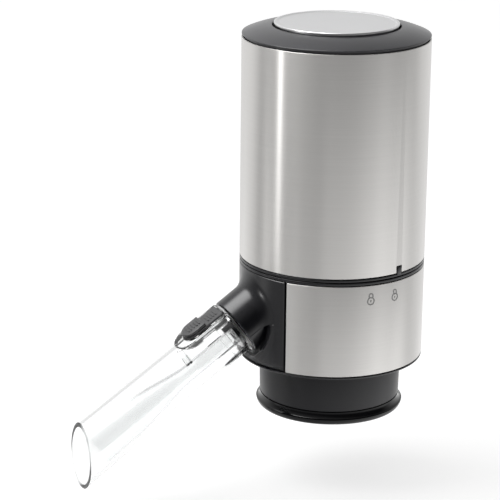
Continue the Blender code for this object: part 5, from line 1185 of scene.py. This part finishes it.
class AERATOR_OT_panel(Operator):
    """Shapes the black front panel and the boss that holds the spout"""

    bl_idname = "aerator.panel"
    bl_label = "Front panel"

    def execute(self, context):
        sizes = context.scene.aerator_panel
        border = panel_border(BORDER_STEPS)
        places = [off_axis(*place, PLAIN_RADIUS) for place in border]
        ways = self.lined_up([atan2(y, x) for x, y in places])
        caps = [hypot(x, y) - FOOT_MARGIN for x, y in places]
        halves = [below_middle(way) for way in ways]
        bore = sizes.boss_radius - sizes.boss_wall
        walls = [
            sizes.boss_radius - MOULD_STEP * half - (MOULD_NOTCH if on_mould_line(half) else 0.0)
            for half in halves
        ]
        count, edge = len(ways), 0.0004
        hole = [wall_point(*on_ring(bore, way), HOUSING_INNER) for way in ways]
        rings = [wall_ring(hole, HOUSING_INNER)]
        for radius, reach in ((bore, BOSS_MOUTH - edge), (bore + 0.00015, BOSS_MOUTH)):
            rings.append(axis_ring(ways, [radius] * count, [reach] * count))
        for out, back in quarter(edge, 4):
            radii = [wall - edge + back for wall in walls]
            rings.append(axis_ring(ways, radii, [BOSS_MOUTH - out] * count))
        foot = self.foot_rings(sizes, ways, walls, halves, caps)
        top = BOSS_MOUTH - 0.0006
        for share in (0.0, 0.3, 0.6, 0.85):
            rings.append(axis_ring(ways, walls, [top + (reach - top) * share for _, reach in foot[0]]))
        rings += [axis_ring(ways, *zip(*ring)) for ring in foot]
        ends = zip(foot[-1], ways)
        outer_foot = [wall_point(*on_ring(radius, way), PLAIN_RADIUS) for (radius, _), way in ends]
        rings += blend_rings(outer_foot, border, PLAIN_RADIUS, OUTER_RINGS)
        narrower = 1 - PANEL_ROUND / PLAIN_RADIUS / PANEL_HALF_ANGLE
        low, high = LOWER_BASE + GAP + PANEL_ROUND, LOWER_TOP - PANEL_ROUND
        inset = [(a * narrower, min(max(z, low), high)) for a, z in border]
        rings.append(wall_ring(inset, PLAIN_RADIUS))
        rings.append(wall_ring(border, PLAIN_RADIUS - PANEL_ROUND))
        rings.append(wall_ring(border, HOUSING_INNER))
        rings += blend_rings(border, hole, HOUSING_INNER, INNER_RINGS)
        obj = raw_object("panel_with_boss", skin(rings, loop=True))
        finish_piece(obj, "black", "base", ["spout_panel"], angle=42.0)
        return {"FINISHED"}

    def lined_up(self, ways):
        """Moves some ways onto the mould line on each side of the boss, so that it stays crisp."""
        count = len(ways)
        step = 1 if sin(ways[1] - ways[0]) > 0 else -1
        for line in ([-a for a in MOULD_LINE[::-1]], [a - HALF_TURN for a in MOULD_LINE]):
            nearest = min(range(count), key=lambda i: abs(ways[i] - line[0]))
            for k, way in enumerate(line):
                ways[(nearest + step * k) % count] = way
        return ways

    def foot_rings(self, sizes, ways, walls, halves, caps):
        """The boss's foot: a fillet on the upper half, a deep groove and a raised band below."""
        fillet = sizes.fillet
        upper = [(out, fillet - up) for out, up in quarter(fillet, 11)]
        upper += [(fillet + step, 0.0) for step in (0.00005, 0.0001, 0.00015)]
        groove, deep, band = GROOVE_WIDTH, -GROOVE_DEPTH, sizes.scoop
        lower = [(0.0, lift) for lift in (0.0030, 0.0015, 0.0005, -0.0005, -0.0013)]
        lower += [
            (0.0001, 0.9 * deep), (0.0003, deep), (groove - 0.0003, deep),
            (groove - 0.0001, 0.9 * deep), (groove, 0.6 * deep), (groove, 0.15 * deep),
            (groove + 0.0001, 0.2 * BAND_HEIGHT), (groove + 0.0003, BAND_HEIGHT),
            (band - 0.0002, BAND_HEIGHT), (band, 0.0),
        ]
        rings = []
        for k, (above, below) in enumerate(zip(upper, lower)):
            ring = []
            for way, wall, half, cap in zip(ways, walls, halves, caps):
                offset, lift = between(above, below, half)
                if on_mould_line(half):
                    offset += MOULD_NOTCH * min(k / 8, 1.0)
                radius = min(wall + offset, cap - (len(upper) - 1 - k) * RING_STEP)
                reach = wall_reach(*on_ring(radius, way), PLAIN_RADIUS) + lift
                if k < 4:
                    reach = min(reach, BOSS_MOUTH - FILLET_BACK - RING_STEP * k)
                elif half > 0.5 and k < 9:
                    reach = min(reach, BOSS_MOUTH - GROOVE_BACK)
                ring.append((radius, reach))
            rings.append(ring)
        return rings


# Socket, plug, ring seal and clear spout, all drawn along the spout's axis

CHANNEL = (0.0, -0.0022)
SPOUT_START = BOSS_MOUTH + GAP
FLANGE_END = SPOUT_START + 0.0008
PAD_TOP = 0.0095
PLUG_RADIUS = 0.0069
PLUG_FRONT = SPOUT_START + 0.0050
PLUG_BACK = PLUG_FRONT - 0.0182
SEAT_START = FLANGE_END + GAP
SEAT_END = SEAT_START + 0.0158
SEAT_SUNK = PAD_TOP - 0.0012
SEAT_BASE = SEAT_SUNK + GAP
SEAT_TOP = SEAT_BASE + 0.0014
SEAT_HALF_WIDTH = 0.0040
SLIDER_END = SEAT_END - GAP
SLIDER_LENGTH = 0.0083
SLIDER_START = SLIDER_END - SLIDER_LENGTH
SLIDER_MIDDLE = SLIDER_START + SLIDER_LENGTH / 2
SLIDER_BASE = SEAT_TOP + GAP
SLIDER_TOP = SLIDER_BASE + 0.0010
NOZZLE_RADIUS = 0.0031
NOZZLE_WALL = 0.0007
NOZZLE_START = PLUG_FRONT + GAP
NOSE_END = SPOUT_START + 0.0022
CHIMNEY_PLACE = NOZZLE_START + 0.0150
CHIMNEY_RADIUS, CHIMNEY_BORE = 0.0013, 0.0007
PAD_PORT, SEAT_PORT = 0.0011, 0.0009
ROUND_STEPS = 96


class AERATOR_OT_socket(Operator):
    """Turns the socket that the spout plugs into"""

    bl_idname = "aerator.socket"
    bl_label = "Spout socket"

    def execute(self, context):
        sizes = context.scene.aerator_panel
        radius = sizes.boss_radius - sizes.boss_wall - GAP
        front = BOSS_MOUTH - GAP
        back = front - 0.0165
        wall = back + 0.0015
        bore = radius - 0.0014
        profile = [
            (0.0, back), (radius, back, ROUND), (radius, front, EDGE), (bore, front, ROUND),
            (bore, wall, 0.0006), (0.0, wall),
        ]
        obj = lathed("socket_cup", profile, ROUND_STEPS)
        start = back - 0.0048
        pipe, pipe_bore = 0.0022, 0.0015
        join(obj, rod(pipe, start, back + 0.0004, CHANNEL))
        cut(obj, rod(pipe_bore, start - OVERRUN, wall + OVERRUN, CHANNEL))
        spout_piece(obj, "grey", "base", "spout_socket")
        return {"FINISHED"}


class AERATOR_OT_plug(Operator):
    """Turns the black plug and its ring seal"""

    bl_idname = "aerator.plug"
    bl_label = "Spout plug"

    def execute(self, context):
        sizes = context.scene.aerator_spout
        depth, wire = 0.0013, 0.0009
        groove = PLUG_BACK + 0.0058
        groove_end = groove + 0.0024
        nose = sizes.root_radius - sizes.wall - GAP
        profile = [
            (0.0, PLUG_BACK), (PLUG_RADIUS - depth, PLUG_BACK, SOFT),
            (PLUG_RADIUS, PLUG_BACK + depth, SOFT), (PLUG_RADIUS, groove, EDGE),
            (PLUG_RADIUS - depth, groove), (PLUG_RADIUS - depth, groove_end),
            (PLUG_RADIUS, groove_end, EDGE), (PLUG_RADIUS, SPOUT_START - GAP), (nose, SPOUT_START),
            (nose, NOSE_END, ROUND), (0.0, NOSE_END),
        ]
        obj = lathed("plug_body", profile, ROUND_STEPS)
        low, high = (-0.0008, nose - 0.0013, NOSE_END - 0.0004), (0.0008, nose - 0.0001, PLUG_FRONT)
        fingers = [turned(block(low, high), radians(way)) for way in (-46, 46)]
        join(obj, *fingers)
        cut(obj, rod(NOZZLE_RADIUS - NOZZLE_WALL, PLUG_BACK - OVERRUN, PLUG_FRONT + OVERRUN, CHANNEL))
        spout_piece(obj, "gloss", "spout", "spout_plug")
        ring_radius, middle = PLUG_RADIUS - depth + GAP + wire, (groove + groove_end) / 2
        section = [(ring_radius + x, middle + y) for x, y in (on_ring(wire, a) for a in angles(20))]
        ring = raw_object("plug_ring_seal", lathe(section, ROUND_STEPS))
        spout_piece(ring, "silicone", "spout", "spout_o_ring", angle=60.0)
        return {"FINISHED"}


def stadium(half_width, start, end, inset=0.0):
    """(side, along) points of a strip with a round far end and a square near end."""
    half, centre, steps = half_width - inset, end - half_width, 24
    arc = (on_ring(half, HALF_TURN * i / steps) for i in range(steps + 1))
    return [(x, centre + z) for x, z in arc] + [(-half, start + inset), (half, start + inset)]


def strip(levels):
    """A solid from (height, outline) levels across the spout's axis."""
    return skin([[(x, y, z) for x, z in outline] for y, outline in levels])


def soft_strip(base, top, edge, *outline):
    """A strip with a rounded upper edge."""
    levels = [(top - edge + up, stadium(*outline, inset)) for inset, up in quarter(edge, 4)]
    return strip([(base, stadium(*outline))] + levels)


def tube_radius(sizes, reach):
    share = (reach - FLANGE_END) / (SPOUT_END - FLANGE_END)
    return sizes.root_radius + (sizes.tip_radius - sizes.root_radius) * share


def outlet_ring(radius, extra=0.0):
    """A ring on the outlet, which is cut upright while the spout slopes."""
    return [(x, y, SPOUT_END + extra - y * SLOPE) for x, y, _ in circle(radius, 0.0, ROUND_STEPS)]


def upright_rod(radius, low, high, place, segments=24):
    """A rod that stands across the spout's axis."""
    return moved(turned(rod(radius, low, high, segments=segments), -QUARTER_TURN, "X"), (0.0, 0.0, place))


class AERATOR_OT_clear_spout(Operator):
    """Shapes the clear tube with its flange, pad, windows and upright-cut outlet"""

    bl_idname = "aerator.clear_spout"
    bl_label = "Clear spout"

    def execute(self, context):
        sizes = context.scene.aerator_spout
        groove = SPOUT_START + 0.0051
        groove_end = groove + 0.0006
        depth, flange, soft = 0.0004, 0.0105, 0.00015
        root, tip = sizes.root_radius, sizes.tip_radius
        at_groove = tube_radius(sizes, groove)
        near = SPOUT_END - 2 * tip
        stations = [
            (flange - soft, SPOUT_START), (flange, SPOUT_START + soft), (flange, FLANGE_END - soft),
            (flange - soft, FLANGE_END), (root + 0.0003, FLANGE_END), (root, FLANGE_END + 0.0003),
            (at_groove, groove), (at_groove - depth, groove + 0.0001),
            (at_groove - depth, groove_end - 0.0001),
        ]
        reaches = [groove_end + (near - groove_end) * i / 5 for i in range(6)]
        stations += [(tube_radius(sizes, reach), reach) for reach in reaches]
        rings = [circle(*station, ROUND_STEPS) for station in stations]
        rings += [outlet_ring(tip, -0.0002), outlet_ring(tip - 0.0002)]
        obj = raw_object("clear_tube", skin(rings))
        start, end = SPOUT_START + 0.0004, SPOUT_START + 0.0208
        pad_base, pad_half, pad_edge = 0.0057, 0.0057, 0.0005
        join(obj, soft_strip(pad_base, PAD_TOP, pad_edge, pad_half, start, end))
        outline = stadium(SEAT_HALF_WIDTH + GAP, SEAT_START - GAP, SEAT_END + GAP)
        cut(obj, strip([(SEAT_SUNK, outline), (PAD_TOP + OVERRUN, outline)]))
        inner, inner_tip = root - sizes.wall, tip - sizes.wall
        stations = (
            (inner, SPOUT_START - OVERRUN), (inner, FLANGE_END),
            (tube_radius(sizes, near) - sizes.wall, near),
        )
        bore = [circle(*station, ROUND_STEPS) for station in stations]
        for widened, extra in ((0.0, -0.0001), (0.0001, 0.00002), (0.0001, OVERRUN)):
            bore.append(outlet_ring(inner_tip + widened, extra))
        cut(obj, skin(bore))
        half, start = 0.0015, SPOUT_START + 0.0068
        low, high = (-half, inner - OVERRUN, start), (half, tip + OVERRUN, start + 0.0058)
        windows = [turned(block(low, high), radians(way)) for way in (-43, 43)]
        cut(obj, *windows)
        cut(obj, upright_rod(PAD_PORT, inner - OVERRUN, PAD_TOP + OVERRUN, SLIDER_MIDDLE))

        def is_cut(corner):
            at_rim = corner.z < FLANGE_END and hypot(corner.x, corner.y) > flange - 2 * soft
            return at_rim or abs(corner.z - SPOUT_END + corner.y * SLOPE) < 0.00025

        mark_cut_edges(obj.data, is_cut)
        spout_piece(obj, "clear", "spout", "clear_spout", angle=30.0)
        return {"FINISHED"}


HORN = ((0.0, 0.0), (0.12, 0.06), (0.35, 0.36), (0.70, 0.80), (1.0, 1.0))
HORN_STEPS = 24


def eased(share):
    """How far the horn has widened, as a smooth curve through its stations."""
    for k, ((a, va), (b, vb)) in enumerate(zip(HORN, HORN[1:])):
        if a <= share <= b:
            before, after = HORN[max(k - 1, 0)], HORN[min(k + 2, len(HORN) - 1)]
            slope_a = (vb - before[1]) / (b - before[0])
            slope_b = (after[1] - va) / (after[0] - a)
            h = b - a
            t = (share - a) / h
            start = va * (2 * t**3 - 3 * t**2 + 1) + slope_a * h * (t**3 - 2 * t**2 + t)
            return start + vb * (3 * t**2 - 2 * t**3) + slope_b * h * (t**3 - t**2)
    return 1.0


class AERATOR_OT_horn(Operator):
    """Shapes the clear inner horn that carries the wine"""

    bl_idname = "aerator.horn"
    bl_label = "Inner horn"

    def execute(self, context):
        sizes = context.scene.aerator_spout
        end_radius = sizes.tip_radius - sizes.wall - GAP
        end = SPOUT_END - end_radius * SLOPE - 0.0004
        flare = NOZZLE_START + 0.0160
        runs = []
        for wall in (0.0, NOZZLE_WALL):
            run = [circle(NOZZLE_RADIUS - wall, NOSE_END + GAP, ROUND_STEPS, CHANNEL)]
            for share in (i / HORN_STEPS for i in range(HORN_STEPS + 1)):
                reach = flare + (end - flare) * share
                drop = -CHANNEL[1] + (0.0006 + CHANNEL[1]) * share
                radius = NOZZLE_RADIUS + (end_radius - NOZZLE_RADIUS) * eased(share)
                radius = min(radius, tube_radius(sizes, reach) - sizes.wall - GAP - drop)
                run.append(circle(radius - wall, reach, ROUND_STEPS, (0.0, -drop)))
            runs.append(run)
        obj = raw_object("clear_horn", skin(runs[0] + runs[1][::-1], loop=True))
        low = NOZZLE_RADIUS + CHANNEL[1] - 0.0004
        high = sizes.root_radius - sizes.wall - GAP - 0.0004
        join(obj, upright_rod(CHIMNEY_RADIUS, low, high, CHIMNEY_PLACE))
        cut(obj, upright_rod(CHIMNEY_BORE, low - NOZZLE_WALL, high + OVERRUN, CHIMNEY_PLACE, 16))
        spout_piece(obj, "clear", "spout", "spout_nozzle")
        return {"FINISHED"}


class AERATOR_OT_vent(Operator):
    """Shapes the ported seat and the thumb slider on the spout's pad"""

    bl_idname = "aerator.vent"
    bl_label = "Vent seat and slider"

    def execute(self, context):
        size = (SEAT_HALF_WIDTH, SEAT_START, SEAT_END)
        levels = [(SEAT_BASE, 0.0), (SEAT_TOP - EDGE, 0.0), (SEAT_TOP, EDGE)]
        seat = strip([(height, stadium(*size, inset)) for height, inset in levels])
        seat = raw_object("ported_seat", seat)
        cut(seat, upright_rod(SEAT_PORT, SEAT_BASE - OVERRUN, SEAT_TOP + OVERRUN, SLIDER_MIDDLE))
        join(seat, self.bars((SEAT_START + SLIDER_START) / 2, SEAT_TOP, 0.00024, 4))
        spout_piece(seat, "vent", "spout", "vent_seat")
        size = (SEAT_HALF_WIDTH - GAP / 2, SLIDER_START, SLIDER_END)
        slider = raw_object("thumb_slider", soft_strip(SLIDER_BASE, SLIDER_TOP, GAP, *size))
        join(slider, self.bars(SLIDER_MIDDLE - 0.0006, SLIDER_TOP, 0.00030, 5))
        broken = dict(width=0.00006, segments=2, limit_method="ANGLE", angle_limit=radians(50))
        modified(slider, "BEVEL", **broken)
        spout_piece(slider, "vent", "slider", "vent_slider")
        return {"FINISHED"}

    def bars(self, middle, top, height, count):
        """Grip bars laid across the seat or the slider."""
        row = raw_object("grip_row", bmesh.new())
        sink = 0.0003
        size = {"Length": 0.0040, "Width": 0.0005, "Height": height + sink, "Pitch": 0.00115}
        run_tree(row, grip_tree(), {**size, "Bars": count, "Finish": finish_of("vent")})
        bm = bmesh.new()
        bm.from_mesh(row.data)
        discard(row)
        bmesh.ops.recalc_face_normals(bm, faces=bm.faces)
        turned(bm, QUARTER_TURN, "X")
        low = min(v.co.y for v in bm.verts)
        ends = [v.co.z for v in bm.verts]
        return moved(bm, (0.0, top - sink - low, middle - (min(ends) + max(ends)) / 2))


# Pieces that stay as the frame has them


class AERATOR_OT_inner(Operator):
    """Gives the hidden pieces of the frame their finishes"""

    bl_idname = "aerator.inner"
    bl_label = "Inner pieces"

    def execute(self, context):
        finishes = {
            "black": ("battery_cradle", "switch_body", "cover_liner", "button_guide", "button_stem"),
            "gloss": ("switch_plunger",),
            "grey": ("pump_head", "pump_frame", "pump_eccentric", "wobble_plate"),
            "silicone": ("wine_pipe", "pump_diaphragm", "pump_valve_plate"),
            "spring": ("motor_can", "motor_shaft"), "contact": ("cell_bridge", "cell_terminal"),
            "jacket": ("aaa_cell",), "board": ("circuit_board",),
        }
        for finish, starts in finishes.items():
            for name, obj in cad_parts.items():
                if name.startswith(starts):
                    obj.data.materials.clear()
                    obj.data.materials.append(finish_of(finish))
        return {"FINISHED"}


# Studio

CAMERA_PLACE = (0.63385, -0.32730, 0.27106)
CAMERA_AIM = (-0.86753, 0.40455, -0.28930)
CAMERA_ROLL = 0.010605
CAMERA_LENS = 152.54
FLOOR_DROP = 0.0098
FLOOR_RADIUS = 1.2
FLOOR_THICKNESS = 0.001
FLOOR_MIDDLE = (-1.0, 0.5)
FLOOR_SEEN = 0.58
FLOOR_SEEN_THROUGH = 0.31
SOFT_PLACE, SOFT_SIZE = (-0.25, -0.55, 0.95), (0.9, 0.9)
STRIP_PLACE, STRIP_SIZE = (*on_ring(2.0, radians(264.5)), 0.06), (0.06, 0.12)
LAMP_AIM = (0.0, 0.0, 0.1)
# The room's light by the way round, as (degrees, light)
ROOM = (
    (-180, 1.30), (-170, 1.36), (-160, 0.95), (-149, 0.24), (-135, 0.24), (-119, 1.48), (-106, 0.66),
    (-88, 0.74), (-76, 0.85), (-66, 0.72), (-55, 0.80), (-46, 0.84), (-34, 1.09), (-19, 1.14), (-8, 1.20),
    (3, 1.28), (14, 1.45), (24, 1.54), (33, 1.77), (40, 1.81), (55, 1.67), (70, 1.90), (93, 1.13),
    (110, 0.99), (122, 1.25), (133, 1.38), (150, 1.33), (171, 1.23), (180, 1.25),
)
ROOM_LEVEL = 0.8
ROOM_PEAK = 3.0
ROOM_DARK_FROM = -0.09
ROOM_BRIGHT_FROM = -0.36
ROOM_BRIGHT = 1.42
ROOM_CURVE = 0.8
ROOM_FRONT = 0.04
ROOM_BEHIND = 1.3
ROOM_SIDE, ROOM_AHEAD = -0.1, 0.6
# A soft glow above the spout: its way, and each part's outer angle, inner angle and light
GLOW_WAY = (-0.22, -0.375, 0.90)
GLOWS = ((31, 5, 11.5), (84, 20, 0.9))


class AERATOR_OT_studio(Operator):
    """Sets up the camera, the floor, the room light and the lamps"""

    bl_idname = "aerator.studio"
    bl_label = "Studio"

    def execute(self, context):
        scene = context.scene
        scene.view_settings.view_transform = "Standard"
        self.camera(scene)
        self.room(scene)
        self.floor(scene)
        self.lamp("soft_lamp", scene.aerator_studio.key, SOFT_PLACE, SOFT_SIZE).visible_glossy = False
        self.lamp("strip_lamp", scene.aerator_studio.strip, STRIP_PLACE, STRIP_SIZE)
        return {"FINISHED"}

    def camera(self, scene):
        data = bpy.data.cameras.new("photo_camera")
        data.lens, data.sensor_width = CAMERA_LENS, 36.0
        data.clip_start, data.clip_end = 0.01, 50.0
        scene.camera = linked("photo_camera", data)
        aim = Vector(CAMERA_AIM).normalized().to_track_quat("-Z", "Y").to_matrix().to_4x4()
        turn = Matrix.Rotation(CAMERA_ROLL, 4, "Z")
        scene.camera.matrix_world = Matrix.Translation(CAMERA_PLACE) @ aim @ turn

    def room(self, scene):
        """White to the camera, soft bands of light to metal and glass, and plain light elsewhere."""
        scene.world = bpy.data.worlds.new("studio_room")
        scene.world.use_nodes = True
        tree = scene.world.node_tree
        tree.nodes.clear()
        way = add(tree, "ShaderNodeTexCoord").outputs["Generated"]
        around = add(tree, "ShaderNodeTexGradient", way, gradient_type="RADIAL")
        bands = add(tree, "ShaderNodeValToRGB", around.outputs["Fac"])
        ramp = bands.color_ramp
        ramp.interpolation = "EASE"
        for i, (angle, light) in enumerate(ROOM):
            stop = ramp.elements[i] if i < 2 else ramp.elements.new(angle / 360 + 0.5)
            stop.position = angle / 360 + 0.5
            stop.color = (*[light / ROOM_PEAK] * 3, 1.0)
        glossy_light = self.shaped(tree, way, maths(tree, "MULTIPLY", bands, ROOM_PEAK))
        path = add(tree, "ShaderNodeLightPath").outputs
        level = self.choose(tree, path["Is Glossy Ray"], scene.aerator_studio.level, glossy_light)
        seen_through = maths(tree, "MINIMUM", glossy_light, 1.0)
        level = self.choose(tree, path["Is Transmission Ray"], level, seen_through)
        level = maths(tree, "MULTIPLY", level, ROOM_LEVEL)
        level = self.choose(tree, path["Is Camera Ray"], level, 1.0)
        light = add(tree, "ShaderNodeBackground", (1.0, 1.0, 1.0, 1.0), Strength=level)
        add(tree, "ShaderNodeOutputWorld", light)

    def shaped(self, tree, way, bands):
        """Brightens the bands towards the floor and adds a soft glow above the spout."""
        height = add(tree, "ShaderNodeSeparateXYZ", way).outputs["Z"]
        low = self.ranged(tree, height, ROOM_DARK_FROM, ROOM_BRIGHT_FROM, 1.0, "LINEAR")
        low = maths(tree, "MULTIPLY", maths(tree, "POWER", low, ROOM_CURVE), ROOM_BRIGHT)
        facing = self.along(tree, way, (CAMERA_AIM[0], CAMERA_AIM[1], 0.0))
        drop = maths(tree, "SUBTRACT", 1.0, maths(tree, "MAXIMUM", height, 0.0))
        behind = maths(tree, "MULTIPLY", drop, ROOM_BEHIND)
        above = maths(tree, "MULTIPLY", self.ranged(tree, facing, ROOM_SIDE, ROOM_AHEAD, 1.0), behind)
        above = maths(tree, "MAXIMUM", above, ROOM_FRONT)
        level = maths(tree, "MAXIMUM", maths(tree, "MULTIPLY", bands, low), above)
        near = self.along(tree, way, GLOW_WAY)
        for *edges, light in GLOWS:
            outer, inner = (cos(radians(edge)) for edge in edges)
            level = maths(tree, "ADD", level, self.ranged(tree, near, outer, inner, light))
        return level

    def along(self, tree, way, direction):
        """How far each direction points along the given one."""
        aim = Vector(direction).normalized()
        return add(tree, "ShaderNodeVectorMath", way, aim, operation="DOT_PRODUCT").outputs["Value"]

    def ranged(self, tree, value, start, end, last, curve="SMOOTHSTEP"):
        span = dict(From_Min=start, From_Max=end, To_Min=0.0, To_Max=last)
        return add(tree, "ShaderNodeMapRange", interpolation_type=curve, Value=value, **span)

    def choose(self, tree, test, otherwise, value):
        return add(tree, "ShaderNodeMix", Factor=test, A=otherwise, B=value)

    def floor(self, scene):
        """A plain disc under the pulled-out spout's tip. Camera rays also get its own white."""
        top = cad_box[0].z - FLOOR_DROP
        obj = raw_object("studio_floor", rod(FLOOR_RADIUS, top - FLOOR_THICKNESS, top, FLOOR_MIDDLE, 96))
        material = bpy.data.materials.new("studio_floor_paint")
        material.use_nodes = True
        tree = material.node_tree
        tree.nodes.clear()
        path = add(tree, "ShaderNodeLightPath").outputs
        seen = maths(tree, "ADD", path["Is Glossy Ray"], path["Is Transmission Ray"])
        through = maths(tree, "MULTIPLY", seen, FLOOR_SEEN_THROUGH)
        straight = maths(tree, "MULTIPLY", path["Is Camera Ray"], FLOOR_SEEN)
        paint = add(tree, "ShaderNodeBsdfDiffuse", (*scene.aerator_studio.floor, 1.0))
        glow = add(tree, "ShaderNodeEmission", Strength=maths(tree, "MAXIMUM", through, straight))
        add(tree, "ShaderNodeOutputMaterial", add(tree, "ShaderNodeAddShader", paint, glow))
        obj.data.materials.append(material)
        obj.visible_glossy = False

    def lamp(self, name, power, place, size):
        data = bpy.data.lights.new(name, "AREA")
        data.shape = "RECTANGLE"
        data.size, data.size_y = size
        data.energy = power
        obj = linked(name, data)
        obj.location = place
        obj.visible_camera = False
        aim = Vector(LAMP_AIM) - Vector(place)
        obj.rotation_euler = aim.to_track_quat("-Z", "Y").to_euler()
        return obj


# Panel and registration

PIECES = (
    AERATOR_OT_studio, AERATOR_OT_sleeves, AERATOR_OT_marks, AERATOR_OT_index_ring, AERATOR_OT_bezel,
    AERATOR_OT_button, AERATOR_OT_spring, AERATOR_OT_housing, AERATOR_OT_deck, AERATOR_OT_screws,
    AERATOR_OT_neck, AERATOR_OT_nipple, AERATOR_OT_panel, AERATOR_OT_socket, AERATOR_OT_plug,
    AERATOR_OT_clear_spout, AERATOR_OT_horn, AERATOR_OT_vent, AERATOR_OT_inner,
)

SETTINGS = {
    "aerator_sleeves": SleeveSettings, "aerator_finish": FinishSettings, "aerator_panel": PanelSettings,
    "aerator_spout": SpoutSettings, "aerator_marks": MarkSettings, "aerator_studio": StudioSettings,
}


class AERATOR_PT_panel(Panel):
    bl_label = "Wine aerator"
    bl_idname = "AERATOR_PT_panel"
    bl_space_type = "VIEW_3D"
    bl_region_type = "UI"
    bl_category = "Aerator"

    def draw(self, context):
        for piece in PIECES:
            self.layout.operator(piece.bl_idname, text=piece.bl_label)
        for name, group in SETTINGS.items():
            box = self.layout.box()
            for key in group.__annotations__:
                box.prop(getattr(context.scene, name), key)


CLASSES = (*SETTINGS.values(), *PIECES, AERATOR_PT_panel)


def register():
    for cls in CLASSES:
        bpy.utils.register_class(cls)
    for name, group in SETTINGS.items():
        setattr(bpy.types.Scene, name, PointerProperty(type=group))


def unregister():
    for name in SETTINGS:
        delattr(bpy.types.Scene, name)
    for cls in reversed(CLASSES):
        bpy.utils.unregister_class(cls)


def main():
    register()
    for piece in PIECES:
        getattr(bpy.ops.aerator, piece.bl_idname.split(".")[1])()


if __name__ == "__main__":
    main()
